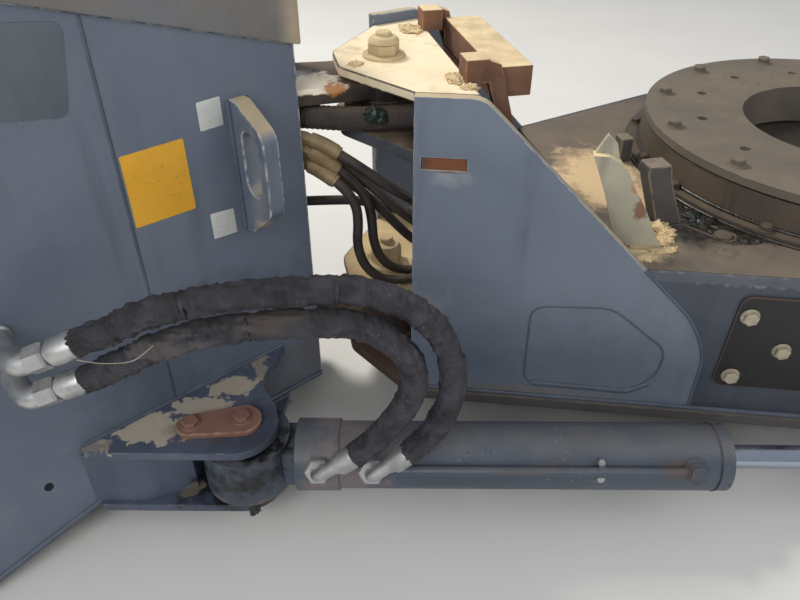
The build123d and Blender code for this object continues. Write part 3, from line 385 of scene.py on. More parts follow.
# Slate frame paint made much darker than the wing's: painted shade on the beams and the other plates it
# covers. Its dust and wear colours are darkened the same way.
shaded_beam_paint = finish("shaded beam paint", (52, 56, 65), 0.42, [
    mottle((76, 82, 94), 0.5, 5, 1.6),
    runs((44, 48, 56), 0.55, 26, 0.45),
    specks(SLATE_PALE, 0.7, 190, 0.3),
    dust((120, 112, 100), 0.9, 0, 0.3, 14),
    wear((104, 106, 108), 0.5, 0.42, 70),
    # Darker towards the bottom of the beam: painted shade.
    spot(on_wing(480, -440), (260, 120, 50), (38, 41, 48), 0.6, 0.6, 1, 0.7),
])
cowl_paint = finish("cowl paint", (99, 88, 71), 0.4, PAINT_LAYERS + [
    dust(DUST, 0.92, 0.16, 0.6, 12),
    spot((-112, -60, 60), (26, 30, 90), SAND, 0.9, 0.4, 0.9, 0.5),
])
barrel_paint = finish("barrel paint", (52, 58, 70), 0.36, [
    mottle((78, 88, 102), 0.45, 7, 1.8),
    specks(CHIP, 0.7, 110, 0.9),
    specks((134, 134, 132), 0.6, 150, 0.8),
    dust((124, 116, 104), 0.9, 0, 0.4, 16),
    wear(BARE, 0.4, 0.4, 80),
    spot(on_cylinder(545, 42, 20), (34, 20, 16), (92, 74, 62), 0.7, 1.2, 0.7, 0.8),
    spot(on_cylinder(360, 46, 22), (230, 12, 7), (82, 80, 80), 0.7, 0.9, 0.6, 0.6),
    spot(on_cylinder(128, 0, 0), (72, 70, 60), (120, 108, 106), 0.6, 0.6, 0.25, 0.8),
    spot(on_cylinder(2, 0, 10), (72, 72, 56), (22, 21, 23), 0.35, 0.9, 0.35, 1),
    spot(on_cylinder(10, 30, -46), (70, 40, 26), (112, 98, 92), 0.8, 0.9, 0.4, 0.8),
])
dusty_plate = finish("dusty yoke plate", (230, 210, 176), 0.85, [
    mottle((240, 222, 188), 0.9, 10, 2.4),
    specks((132, 112, 88), 0.9, 130, 0.8),
    runs((150, 132, 104), 0.9, 30, 0.6),
    spot((0, 0, 0), (60, 46, 30), (196, 178, 148), 0.7, 0.8, 0.6, 0.3),
    wear((104, 92, 78), 0.7, 0.62, 60),
], bump=0.35)
second_plate = finish("second yoke plate", (74, 78, 86), 0.5, [
    dust((150, 128, 96), 0.9, 0.2, 0.5, 20),
    spot((40, -90, -80), (70, 60, 30), GREASE, 0.25, 0.8, 0.7, 0.8),
    spot(on_wing(36, -80), (60, 14, 14), RUST, 0.9, 0.2, 0.3, 1),
    spot(on_wing(10, -80), (14, 14, 14), RUST_DARK, 0.9, 0.8, 0.6, 0.7),
], bump=0.3)
lower_plate = finish("lower yoke plate", (206, 182, 138), 0.9, [
    mottle((176, 152, 112), 0.9, 14, 2.6),
    specks((126, 104, 76), 0.9, 140, 0.9),
    spot((60, -60, -312), (70, 60, 30), (70, 60, 50), 0.6, 1, 0.8, 0.5),
    wear((104, 80, 60), 0.8, 0.65, 60),
], bump=0.4)
floor_paint = finish("floor plate", (62, 62, 66), 0.6, [
    mottle((84, 78, 72), 0.8, 10, 2.2),
    dust((124, 112, 96), 0.95, 0.02, 0.4, 16),
    runs(RUST_DARK, 0.9, 20, 0.7),
    spot((-20, -60, -442), (110, 110, 22), RUST_DARK, 0.85, 0.7, 0.6, 0.8),
    wear((98, 92, 86), 0.7, 0.5, 60),
], bump=0.3)
deck_paint = finish("deck plate", (72, 68, 66), 0.55, [
    mottle((104, 92, 78), 0.8, 9, 2.2),
    dust((150, 130, 102), 0.92, 0.04, 0.3, 13),
    spot((425, -150, DECK_TOP), (80, 60, 30), GREASE, 0.3, 1, 0.6, 0.9),
    spot((400, -112, DECK_TOP), (60, 40, 30), RUST_DARK, 0.7, 1, 0.8, 0.8),
    spot((486, -168, DECK_TOP), (60, 50, 30), GREASE, 0.3, 1, 0.6, 0.8),
    spot((300, -180, DECK_TOP), (50, 40, 30), SAND, 0.9, 0.8, 0.7, 0.8),
    # Pale strip near the deck's rear edge: dust, made paler as painted sunlight.
    spot((340, 10, DECK_TOP), (90, 130, 30), (206, 178, 136), 0.9, 0.7, 0.5, 0.95),
    spot((720, 0, DECK_TOP), (300, 300, 12), GREASE, 0.35, 0.5, 0.25, 0.85),
], bump=0.3)
bracket_steel = finish("bracket plate", (58, 66, 83), 0.5, [
    mottle((88, 95, 110), 0.5, 7, 1.6),
    runs((46, 50, 58), 0.55, 26, 0.45),
    spot(on_cylinder(-112, 12, 56), (52, 30, 16), (176, 164, 146), 0.85, 1.9, 0.16, 0.9),
    spot(on_cylinder(-62, -28, 56), (38, 18, 16), (176, 164, 146), 0.85, 2, 0.16, 0.85),
    spot(on_cylinder(-28, -66, 56), (34, 24, 16), (170, 158, 140), 0.85, 2, 0.16, 0.9),
    spot(on_cylinder(-2, -112, 56), (16, 26, 16), (140, 130, 114), 0.85, 1.7, 0.14, 0.8),
    spot(on_cylinder(-166, 38, 56), (24, 10, 16), (140, 132, 120), 0.85, 1.4, 0.2, 0.7),
    specks((140, 130, 112), 0.8, 110, 0.6),
    spot(on_cylinder(-30, 4, 56), (62, 30, 12), (88, 70, 60), 0.85, 0.8, 0.5, 0.6),
    spot(on_cylinder(20, 8, 44), (60, 60, 40), (46, 48, 54), 0.5, 0.9, 0.5, 0.5),
    spot(on_cylinder(-14, 0, -40), (92, 66, 22), (34, 33, 36), 0.35, 0.9, 0.4, 0.95),
    spot(on_cylinder(-76, 22, -41), (16, 14, 10), (112, 100, 88), 0.85, 1.4, 0.2, 0.8),
    wear((112, 112, 114), 0.6, 0.4, 46),
], bump=0.3)
rusty_keeper = finish("rusty keeper", (118, 84, 74), 0.8, [
    mottle((132, 96, 80), 0.9, 30, 2.6),
    specks((72, 52, 46), 0.9, 200, 0.8),
    wear((152, 122, 102), 0.7, 0.5, 90),
], bump=0.5)
rusty_posts = finish("rusty posts", (126, 86, 62), 0.85, [
    mottle((84, 58, 46), 0.9, 14, 3),
    dust(SAND, 0.95, 0.12, 0.7, 24),
    wear((170, 124, 90), 0.8, 0.55, 60),
], bump=0.5)
greasy_steel = finish("greasy steel", (46, 40, 37), 0.42, [
    mottle((78, 60, 48), 0.8, 18, 2.8),
    dust((140, 112, 80), 0.9, 0.04, 0.4, 24),
    spot((-150, -50, -18), (90, 90, 3), (176, 172, 168), 0.6, 0.3, 0.15, 0.95),
    # Ear top face: a pale dust patch and an orange rusty patch, both made far brighter as painted sunlight on
    # the top face.
    spot((-92, -60, -18), (40, 68, 9), (252, 238, 214), 0.85, 0.8, 0.2, 1),
    spot((-72, -62, -20), (16, 40, 8), (190, 124, 62), 0.85, 1.4, 0.3, 0.9),
    spot((0, 0, -30), (52, 52, 50), GREASE, 0.25, 0.5, 0.2, 0.9),
    spot((-6, -44, -96), (60, 50, 60), GREASE, 0.2, 0.9, 0.6, 0.9),
], bump=0.45)
pin_steel = finish("pin and nut steel", (176, 156, 120), 0.7, [
    mottle((206, 184, 142), 0.9, 22, 2.4),
    specks((112, 92, 70), 0.9, 220, 0.9),
    wear((126, 108, 84), 0.6, 0.6, 90),
], bump=0.35)
zinc = finish("zinc fittings", (158, 158, 158), 0.36, [
    mottle((198, 198, 196), 0.45, 40, 2.4, metal=0.85),
    specks((108, 100, 92), 0.8, 300, 0.8),
    dust((176, 162, 140), 0.9, 0.06, 0.25, 40),
], metal=0.85, bump=0.2)
gold_zinc = finish("dusty golden fittings", (156, 134, 98), 0.5, [
    mottle((122, 100, 70), 0.7, 50, 2.6, metal=0.5),
    dust(DUST, 0.9, 0.16, 0.5, 40),
], metal=0.6, bump=0.3)
dull_bolt = finish("cover bolts", (150, 140, 120), 0.6, [
    mottle((184, 174, 150), 0.8, 60, 2.4),
    specks((96, 76, 58), 0.9, 320, 0.9),
], metal=0.3, bump=0.3)
black_cover = finish("black cover", (21, 20, 22), 0.42, [
    mottle((34, 31, 32), 0.6, 12, 2),
    specks((90, 84, 76), 0.9, 180, 0.5),
    dust((112, 98, 82), 0.9, 0, 0.5, 18),
    wear((92, 72, 62), 0.6, 0.66, 50),
], bump=0.25)
rubber = finish("hose rubber", (34, 30, 29), 0.42, [
    mottle((60, 51, 46), 0.6, 30, 2.4),
    dust((150, 132, 106), 0.95, 0.04, 0.45, 30),
], bump=0.2)
sleeve_cloth = finish("black sleeve", (26, 25, 29), 0.48, [
    mottle((64, 62, 70), 0.55, 44, 3.4),
    specks((116, 108, 100), 0.8, 170, 0.7),
    spot((-178, -334, -140), (46, 24, 16), (98, 85, 74), 0.9, 1.3, 0.7, 0.6),
    spot((-300, -338, -158), (50, 24, 14), (112, 104, 98), 0.9, 1.6, 0.3, 0.5),
    dust((104, 96, 88), 0.95, 0.03, 0.2, 36),
], bump=0.6, weave=2600)
band_cloth = finish("tie band", (24, 24, 27), 0.5, [
    mottle((48, 46, 50), 0.6, 60, 2.4),
], bump=0.3)
brown_sleeve = finish("brown sleeve", (41, 35, 34), 0.6, [
    mottle((73, 61, 54), 0.75, 30, 2.8),
    dust((150, 130, 104), 0.95, 0, 0.4, 36),
    spot((-29, -92, -42), (16, 16, 16), (58, 74, 62), 0.25, 1.6, 0.3, 0.95),
], bump=0.5, weave=1500)
string_yarn = finish("loose string", (176, 168, 152), 0.8, [
    mottle((140, 130, 112), 0.8, 90, 2.4),
], bump=0.2)
grease = finish("old grease", (26, 24, 22), 0.22, [
    mottle((52, 44, 34), 0.4, 60, 3),
    specks((120, 104, 80), 0.8, 260, 0.6),
], bump=0.6)
green_grease = finish("green grease", (30, 48, 40), 0.25, [
    mottle((20, 22, 20), 0.3, 90, 3),
    specks((110, 128, 112), 0.3, 300, 0.7),
], bump=0.6)
dirt = finish("dry dirt", (190, 166, 124), 0.97, [
    mottle((214, 192, 150), 0.97, 40, 2.6),
    specks((122, 96, 66), 0.97, 260, 0.9),
], bump=0.8)
# Chrome tinted darker and blue-grey in place of neutral: a painted blue reflection.
chrome = finish("chrome rod", (158, 168, 184), 0.14, [
    runs((124, 130, 142), 0.3, 60, 0.4, metal=1),
    dust((150, 140, 124), 0.8, 0, 0.25, 30),
], metal=1, bump=0.05)
stop_paint = finish("stop plate", (160, 154, 134), 0.7, [
    mottle((182, 175, 152), 0.8, 16, 2.4),
    runs((120, 116, 108), 0.8, 40, 0.8),
    dust(SAND, 0.95, 0.02, 0.9, 20),
    wear((196, 178, 142), 0.8, 0.55, 40),
    spot((296, -172, -152), (12, 20, 22), RUST, 0.8, 1.3, 0.4, 0.8),
    spot((284, -170, -128), (8, 20, 12), OCHRE, 0.8, 1.2, 0.4, 0.7),
], bump=0.35)
dark_lug = finish("lock lug", (66, 64, 64), 0.55, [
    mottle((88, 82, 76), 0.7, 20, 2.2),
    dust((150, 132, 106), 0.9, 0.04, 0.5, 20),
    wear((120, 108, 94), 0.6, 0.55, 60),
], bump=0.3)
ring_steel = finish("slewing ring", (60, 52, 44), 0.5, [
    mottle((84, 70, 56), 0.8, 10, 2.4),
    dust((130, 112, 88), 0.92, 0.04, 0.25, 16),
    runs(GREASE, 0.3, 24, 0.7),
    wear((60, 54, 48), 0.5, 0.6, 40),
], bump=0.3)
table_steel = finish("turntable", (84, 78, 70), 0.5, [
    mottle((106, 96, 82), 0.8, 8, 2.2),
    dust((140, 122, 96), 0.92, 0.04, 0.25, 14),
    specks(RUST_DARK, 0.9, 60, 0.6),
    wear((70, 64, 58), 0.5, 0.55, 40),
], bump=0.3)
weld_paint = finish("painted weld", (64, 72, 84), 0.42, [
    mottle((88, 95, 108), 0.5, 30, 2),
], bump=0.3)
dusty_weld = finish("dusty weld", (176, 158, 124), 0.85, [
    mottle((132, 116, 92), 0.85, 30, 2.6),
], bump=0.5)
yellow_label = finish("yellow label", (232, 170, 40), 0.35, [
    mottle((214, 156, 44), 0.45, 20, 1.6),
    specks((150, 120, 60), 0.7, 160, 0.7),
    wear((170, 140, 80), 0.6, 0.5, 80),
], bump=0.08)
white_label = finish("white label", (214, 214, 210), 0.35, [
    mottle((188, 188, 182), 0.45, 30, 1.8),
    specks((140, 132, 118), 0.7, 200, 0.7),
], bump=0.08)
patch_paint = finish("patch paint", (80, 88, 98), 0.5, [
    mottle((98, 104, 110), 0.55, 12, 2),
    runs(SLATE_DARK, 0.5, 40, 0.5),
], bump=0.12)

# Making pieces


def as_piece(name, mesh, material, body, stands_for=(), slot=None, bends=None, sharp=24.0):
    """Object of a mesh in the row frame, riding on its body; with bends given, its place is baked in and it
    rides on no body.
    """
    mesh.polygons.foreach_set("use_smooth", [True] * len(mesh.polygons))
    mesh.set_sharp_from_angle(angle=math.radians(sharp))
    mesh.materials.clear()
    mesh.materials.append(material)
    piece = bpy.data.objects.new(name, mesh)
    bpy.context.scene.collection.objects.link(piece)
    if bends:
        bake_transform(piece)
    else:
        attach(piece, body)
    if stands_for:
        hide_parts(*stands_for)
    return piece


def drawn(name, shape, material, body, **words):
    """Piece of a bmesh drawn in millimetres."""
    bmesh.ops.remove_doubles(shape, verts=shape.verts, dist=0.002)
    bmesh.ops.recalc_face_normals(shape, faces=shape.faces)
    shape.transform(TO_ROW)
    mesh = bpy.data.meshes.new(name)
    shape.to_mesh(mesh)
    shape.free()
    return as_piece(name, mesh, material, body, **words)


def bevel_edges(shape, width, least=32.0, steps=2):
    """Bevels the sharp edges and marks the new faces with the attribute edge."""
    marks = shape.faces.layers.float.get("edge") or shape.faces.layers.float.new("edge")
    sharp = [
        e for e in shape.edges if len(e.link_faces) == 2 and e.calc_face_angle(0) > math.radians(least)
    ]
    made = bmesh.ops.bevel(
        shape, geom=sharp, offset=width, segments=steps, profile=0.6, affect="EDGES", clamp_overlap=True
    )
    for face in made["faces"]:
        face[marks] = 1.0


def softened(node, material, width=1.5, slot=None):
    """Copy of a CAD node with bevelled edges, which stands for it."""
    shape = bmesh.new()
    shape.from_mesh(frame["nodes"][node].data)
    bmesh.ops.remove_doubles(shape, verts=shape.verts, dist=1e-6)
    bmesh.ops.dissolve_limit(shape, angle_limit=math.radians(0.5), verts=shape.verts, edges=shape.edges)
    bevel_edges(shape, width / 1000)
    mesh = bpy.data.meshes.new(node)
    shape.to_mesh(mesh)
    shape.free()
    body = frame["nodes"][node]["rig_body"]
    return as_piece(node + "_dressed", mesh, material, body, stands_for=[node], slot=slot)


def turned(shape, base, axis, profile, sides=32, phase=0.0):
    """Turned solid. The profile lists (distance along the axis, radius) and starts and ends at radius 0."""
    axis = Vector(axis).normalized()
    side = axis.orthogonal().normalized()
    if abs(axis.z) < 0.9:
        side = UP.cross(axis).normalized()
    other = axis.cross(side)
    rings = []
    for along, radius in profile:
        centre = Vector(base) + axis * along
        if radius == 0:
            rings.append([shape.verts.new(centre)])
            continue
        ring = []
        for k in range(sides):
            turn = phase + 2 * math.pi * k / sides
            ring.append(shape.verts.new(centre + (side * math.cos(turn) + other * math.sin(turn)) * radius))
        rings.append(ring)
    for low, high in zip(rings, rings[1:]):
        for k in range(sides):
            j = k + 1
            corners = [low[k % len(low)], low[j % len(low)], high[j % len(high)], high[k % len(high)]]
            unique = [v for i, v in enumerate(corners) if v not in corners[:i]]
            if len(unique) > 2:
                shape.faces.new(unique)
    return shape


def hexagon(shape, base, axis, flats, height, phase=0.0):
    """Six-sided nut, measured across its flats, with chamfered ends."""
    corner = flats / math.sqrt(3)
    profile = [(0, 0), (0, corner * 0.97), (height * 0.06, corner), (height * 0.86, corner)]
    return turned(shape, base, axis, profile + [(height, corner * 0.88), (height, 0)], 6, phase)


def rounded(corners, steps=5):
    """Outline with each corner (x, y, radius) rounded by an arc."""
    outline = []
    count = len(corners)
    for k, (x, y, radius) in enumerate(corners):
        here = Vector((x, y))
        before = Vector(corners[k - 1][:2]) - here
        after = Vector(corners[(k + 1) % count][:2]) - here
        half = before.angle(after) / 2
        reach = min(radius / math.tan(half), before.length * 0.49, after.length * 0.49)
        if reach < 0.01:
            outline.append((x, y))
            continue
        start, end = here + before.normalized() * reach, here + after.normalized() * reach
        for i in range(steps + 1):
            t = i / steps
            point = start.lerp(here, t).lerp(here.lerp(end, t), t)
            outline.append((point.x, point.y))
    return outline


def plate(shape, outline, to_space, low, high, width=0.8):
    """Plate of a flat outline between two offsets, bevelled. to_space(u, v, offset) gives its place."""
    verts = [shape.verts.new(to_space(u, v, low)) for u, v in outline]
    edges = [shape.edges.new((verts[k - 1], verts[k])) for k in range(len(verts))]
    filled = bmesh.ops.triangle_fill(shape, use_beauty=True, use_dissolve=True, edges=edges)
    faces = [item for item in filled["geom"] if isinstance(item, bmesh.types.BMFace)]
    rise = to_space(0, 0, high) - to_space(0, 0, low)
    raised = bmesh.ops.extrude_face_region(shape, geom=faces, use_keep_orig=True)["geom"]
    bmesh.ops.translate(shape, vec=rise, verts=[g for g in raised if isinstance(g, bmesh.types.BMVert)])
    bmesh.ops.recalc_face_normals(shape, faces=shape.faces)
    if width:
        bevel_edges(shape, width, least=40.0)
    return shape


def tube(shape, path, radius, sides=20):
    """Closed tube along a path. radius is a number or takes (distance, turn)."""
    size = radius if callable(radius) else (lambda distance, turn: radius)
    lay = shape.loops.layers.uv.get("sleeve") or shape.loops.layers.uv.new("sleeve")
    ahead = (path[1] - path[0]).normalized()
    side = ahead.orthogonal().normalized()
    rings, distance, places = [], 0.0, []
    for k, point in enumerate(path):
        before = path[max(k - 1, 0)]
        after = path[min(k + 1, len(path) - 1)]
        new_ahead = (after - before).normalized()
        side = ahead.rotation_difference(new_ahead) @ side
        ahead = new_ahead
        other = ahead.cross(side)
        distance += (point - before).length
        ring = []
        for i in range(sides):
            turn = 2 * math.pi * i / sides
            reach = size(distance, turn)
            ring.append(shape.verts.new(point + (side * math.cos(turn) + other * math.sin(turn)) * reach))
        rings.append(ring)
        places.append(distance / 1000)
    for k in range(len(rings) - 1):
        for i in range(sides):
            j = (i + 1) % sides
            face = shape.faces.new((rings[k][i], rings[k][j], rings[k + 1][j], rings[k + 1][i]))
            spots = ((places[k], i), (places[k], i + 1), (places[k + 1], i + 1), (places[k + 1], i))
            for loop, (u, v) in zip(face.loops, spots):
                loop[lay].uv = (u, v / sides)
    shape.faces.new(rings[0][::-1])
    shape.faces.new(rings[-1])
    return shape


def evened(path, step):
    """The path's points taken at even distances."""
    total = sum((b - a).length for a, b in zip(path, path[1:]))
    count = max(2, round(total / step))
    result, k, done = [path[0].copy()], 0, 0.0
    for i in range(1, count):
        wanted = total * i / count
        while done + (path[k + 1] - path[k]).length < wanted:
            done += (path[k + 1] - path[k]).length
            k += 1
        share = (wanted - done) / (path[k + 1] - path[k]).length
        result.append(path[k].lerp(path[k + 1], share))
    return result + [path[-1].copy()]


def part_of(path, start, end):
    """The stretch of a path between two distances."""
    result, done = [], 0.0
    for a, b in zip(path, path[1:]):
        length = (b - a).length
        if done + length > start and done < end:
            first = max(0.0, (start - done) / length)
            last = min(1.0, (end - done) / length)
            if not result:
                result.append(a.lerp(b, first))
            result.append(a.lerp(b, last))
        done += length
    return result


def spline_path(route, steps=14):
    """Points along the NURBS spline whose control points are the route's."""
    curve = bpy.data.curves.new("route", "CURVE")
    curve.dimensions = "3D"
    spline = curve.splines.new("NURBS")
    spline.points.add(len(route) - 1)
    for point, place in zip(spline.points, route):
        point.co = (*place, 1.0)
    spline.order_u = 3
    spline.use_endpoint_u = True
    spline.resolution_u = steps
    line = bpy.data.objects.new("route", curve)
    bpy.context.scene.collection.objects.link(line)
    bpy.context.view_layer.update()
    mesh = bpy.data.meshes.new_from_object(line.evaluated_get(bpy.context.evaluated_depsgraph_get()))
    path = [vertex.co.copy() for vertex in mesh.vertices]
    bpy.data.objects.remove(line)
    bpy.data.curves.remove(curve)
    bpy.data.meshes.remove(mesh)
    return path


# Hoses


def wrinkled(seed, radius, bands):
    """Radius of a loose cloth sleeve, creased across and gathered along its length."""

    def size(distance, turn):
        around = Vector((math.cos(turn), math.sin(turn), 0)) * 0.9
        wide = noise.noise(Vector((distance / 34 + seed, 0, 0)) + around * 0.6)
        fold = noise.noise(Vector((distance / 9 + seed * 3, 4, 0)) + around * 2.2)
        ridge = 1.0 - abs(noise.noise(Vector((distance / 26, seed, 9)) + around * 2.4)) * 3.2
        crease = 1.0 - abs(noise.noise(Vector((distance / 8 + turn * 0.6, seed * 2, 3)) + around * 1.2)) * 4.0
        pinch = sum(math.exp(-(((distance - band) / 5) ** 2)) for band in bands)
        return radius + 1.2 * wide + 1.7 * fold + 1.6 * ridge + 1.3 * max(crease, -0.9) - 1.6 * pinch

    return size


ELBOW_OUT = 60
ELBOW_REACH = 62
PORT_KNEE = 68
PORT_TILT = math.radians(25)
PORT_RISE = CYL_OUT * math.cos(PORT_TILT) + UP * math.sin(PORT_TILT)


def elbow(foot, knee, aim):
    """Where an elbow stands, bends and points, and where its hose starts, to a tenth of a millimetre."""
    end = Vector([round(knee[k] + aim[k] * ELBOW_REACH, 1) for k in range(3)])
    return {"foot": foot, "knee": knee, "aim": Vector(aim), "end": end}


def wall_elbow(x, z, aim):
    foot = on_wall((x - WALL_FRONT.x) / WALL_AHEAD.x, z)
    return elbow(foot, foot + WALL_OUT * ELBOW_OUT, aim)


def port_elbow(along, root, aim):
    middle = on_cylinder(along)
    return elbow(middle + PORT_RISE * root, middle + PORT_RISE * PORT_KNEE, aim)


WALL_ELBOWS = [
    wall_elbow(-455, -176, (0.947, -0.040, 0.319)),
    wall_elbow(-457, -219, (0.955, -0.035, 0.294)),
]
PORT_ELBOWS = [
    port_elbow(96.5, 42, (0.748, -0.180, 0.639)),
    port_elbow(162.5, 39, (0.700, -0.140, 0.700)),
]
STEERING_BEND = ("cylinder_barrel", (-330, -315, -170), (-60, -340, -330))
JOINT_BEND = ("front_frame", (-95, 0, -160), (150, 0, -160))
STEERING_HOSES = [
    {
        "name": "steering_hose_upper",
        "bands": (118, 263),
        "from": 0,
        "to": 1,
        "points": [
            (-290, -319, -122),
            (-215, -322, -112),
            (-147, -327, -113),
            (-85, -333, -116),
            (-25, -341, -148),
            (7, -345, -210),
            (7, -343, -282),
        ],
    },
    {
        "name": "steering_hose_lower",
        "bands": (179,),
        "from": 1,
        "to": 0,
        "points": [
            (-295, -320, -163),
            (-225, -324, -149),
            (-150, -334, -146),
            (-95, -343, -148),
            (-56, -348, -176),
            (-36, -346, -214),
            (-36, -341, -262),
        ],
    },
]


def make_steering_hoses():
    for number, hose in enumerate(STEERING_HOSES):
        start, end = WALL_ELBOWS[hose["from"]], PORT_ELBOWS[hose["to"]]
        route = [start["end"], start["end"] + start["aim"] * 32, *map(Vector, hose["points"])]
        route += [end["end"] + end["aim"] * 28, end["end"]]
        path = spline_path(route)
        shape = tube(bmesh.new(), evened(path, 2.0), wrinkled(number * 17 + 3, 13.4, hose["bands"]), 32)
        piece = drawn(
            hose["name"] + "_sleeve",
            shape,
            sleeve_cloth,
            "rear_frame",
            stands_for=[hose["name"]],
            slot="hose_black",
            bends=STEERING_BEND,
            sharp=60,
        )
        ties = bmesh.new()
        for band in hose["bands"]:
            tube(ties, evened(part_of(path, band - 1.6, band + 1.6), 0.8), 14.6, 28)
        tie = drawn(
            hose["name"] + "_ties", ties, band_cloth, "rear_frame", slot="hose_black", bends=STEERING_BEND
        )


JOINT_HOSES = {
    # middle lines; the sleeved hose is the thick one
    "joint_hose_sleeved": [
        (-170, -14, -58), (-118, -28, -58), (-60, -62, -54), (-5, -77, -50), (62, -90, -46),
        (102, -92, -60), (132, -93, -90), (150, -94, -129), (160, -94, -170), (177, -93, -209),
        (208, -92, -238), (248, -90, -253), (280, -90, -253),
    ],
    "joint_hose_a": [
        (-170, -40, -70), (-130, -44, -76), (-95, -52, -84), (-64, -66, -103), (-37, -76, -121),
        (-10, -82, -143), (25, -84, -166), (90, -76, -214), (150, -66, -252), (205, -60, -277),
        (245, -60, -286), (280, -60, -286),
    ],
    "joint_hose_b": [
        (-170, -22, -90), (-130, -26, -94), (-97, -40, -101), (-65, -46, -125), (-42, -52, -140),
        (-12, -60, -169), (28, -60, -211), (80, -50, -246), (135, -42, -270), (190, -36, -283),
        (240, -36, -286), (280, -36, -286),
    ],
    "joint_hose_c": [
        (-170, -10, -106), (-130, -18, -110), (-100, -28, -120), (-68, -38, -144), (-44, -44, -160),
        (-16, -44, -192), (10, -42, -226), (32, -40, -252), (64, -36, -274), (110, -26, -285),
        (165, -16, -287), (225, -12, -286), (280, -12, -286),
    ],
    "joint_hose_d": [
        (-170, -32, -104), (-130, -34, -109), (-98, -56, -119), (-70, -76, -137), (-54, -81, -162),
        (-52, -80, -192), (-55, -78, -225), (-46, -76, -262), (-24, -72, -289), (8, -66, -302),
        (60, -54, -303), (140, -26, -303), (235, 16, -303), (280, 16, -303),
    ],
    "joint_hose_e": [
        (-170, -38, -88), (-130, -42, -92), (-96, -57, -99), (-57, -64, -135), (-37, -66, -163),
        (-31, -64, -198), (-30, -62, -232), (-19, -58, -266), (2, -52, -290), (34, -44, -302),
        (84, -28, -303), (150, 4, -303), (235, 42, -303), (280, 42, -303),
    ],
    "joint_hose_f": [
        (-170, -8, -186), (-120, -10, -188), (-80, -10, -191), (-42, -8, -196), (-2, -4, -212),
        (42, 0, -233), (90, 4, -256), (140, 8, -274), (190, 12, -284), (240, 14, -286),
        (280, 14, -286),
    ],
}


def make_joint_hoses():
    for hose, points in JOINT_HOSES.items():
        thick = hose == "joint_hose_sleeved"
        radius = 15.0 if thick else 7.0
        path = spline_path([Vector(point) for point in points])
        size = radius - 0.4

        def wound(distance, turn, size=size):
            return size + 0.5 * math.sin(distance / 1.1 + turn * 2)

        shape = tube(bmesh.new(), evened(path, 1.8 if thick else 3.0), wound if thick else size, 20)
        if hose not in ("joint_hose_sleeved", "joint_hose_f"):
            crimp = bmesh.new()
            for low, high, reach in ((52, 64, 9.6), (64, 68, 8.0), (68, 104, 10.0), (104, 108, 9.0)):
                tube(crimp, evened(part_of(path, low, high), 4.0), reach, 6 if reach == 9.6 else 18)
            drawn(hose + "_ferrule", crimp, gold_zinc, "rear_frame", slot="zinc_steel")
        piece = drawn(
            hose + "_tube",
            shape,
            brown_sleeve if thick else rubber,
            "rear_frame",
            stands_for=[hose],
            slot="sleeve_brown" if thick else "hose_black",
            bends=JOINT_BEND,
            sharp=60,
        )


make_steering_hoses()
make_joint_hoses()

STRING = [
    (-358, -344, -148), (-345, -345, -153), (-332, -346, -156),
    (-311, -346, -158), (-299, -344, -152), (-289, -340, -146),
]
yarn = tube(bmesh.new(), evened(spline_path([Vector(point) for point in STRING]), 2.0), 0.45, 6)
drawn(
    "loose_string", yarn, string_yarn, "rear_frame", slot="sleeve_brown", bends=STEERING_BEND,
)

# Plates, pins and castings

DRESSED = [
    # material, bevel in millimetres, finish slot, CAD nodes
    (nose_paint, 2.5, "frame_paint", "nose_wall_right nose_wall_left"),
    (shaded_beam_paint, 2.5, "frame_paint", "rear_bulkhead"),
    (cowl_paint, 1.6, "frame_paint", "nose_cowl"),
    (shaded_beam_paint, 0.8, "frame_paint", "cowl_strips"),
    (floor_paint, 1.5, "frame_paint", "nose_floor"),
    (shaded_beam_paint, 1.5, "frame_paint", "nose_front_plates"),
    (greasy_steel, 2.5, "greasy_steel", "upper_ear lower_ear"),
    (bracket_steel, 2.2, "frame_paint", "bracket_upper_plate bracket_lower_plate"),
    (bracket_steel, 1.6, "frame_paint", "bracket_web"),
    (pin_steel, 1.5, "pin_steel", "cylinder_pin"),
    (rusty_keeper, 2, "rusty_steel", "pin_keeper"),
    (nose_paint, 3.5, "frame_paint", "lifting_eye_right lifting_eye_left"),
    (wing_paint, 2, "frame_paint", "wing_right wing_left"),
    (shaded_beam_paint, 2, "frame_paint", "side_beam_right side_beam_left"),
    (dusty_plate, 1.8, "worn_plate", "yoke_plate_top"),
    (second_plate, 1.8, "rusty_steel", "yoke_plate_second"),
    (lower_plate, 1.8, "worn_plate", "yoke_plate_third"),
    (floor_paint, 2, "frame_paint", "frame_floor"),
    (deck_paint, 1.8, "frame_paint", "deck_plate"),
    (deck_paint, 1.5, "frame_paint", "cross_plate"),
    (shaded_beam_paint, 2, "frame_paint", "rail_right rail_left"),
    (shaded_beam_paint, 1.5, "frame_paint", "step_plates"),
    (shaded_beam_paint, 2, "frame_paint", "front_end_plate"),
    (black_cover, 1, "cover_paint", "side_cover_right side_cover_left"),
    (pin_steel, 1.5, "pin_steel", "upper_pivot_pin lower_pivot_pin"),
    (ring_steel, 1.8, "frame_paint", "slew_ring_outer"),
    (table_steel, 2, "frame_paint", "turntable"),
    (shaded_beam_paint, 2, "frame_paint", "axle_pads rod_clevis"),
    (stop_paint, 2.6, "worn_plate", "stop_plate"),
    (dark_lug, 2.2, "frame_paint", "lock_lugs"),
    (rusty_posts, 2, "rusty_steel", "rest_bracket"),
    (barrel_paint, 1.5, "frame_paint", "cylinder_barrel"),
    (barrel_paint, 0.8, "frame_paint", "cylinder_pipe"),
    (chrome, 1.2, "rod_chrome", "cylinder_rod"),
]
for material, width, slot, nodes in DRESSED:
    for node in nodes.split():
        softened(node, material, width, slot)

# Geometry trees


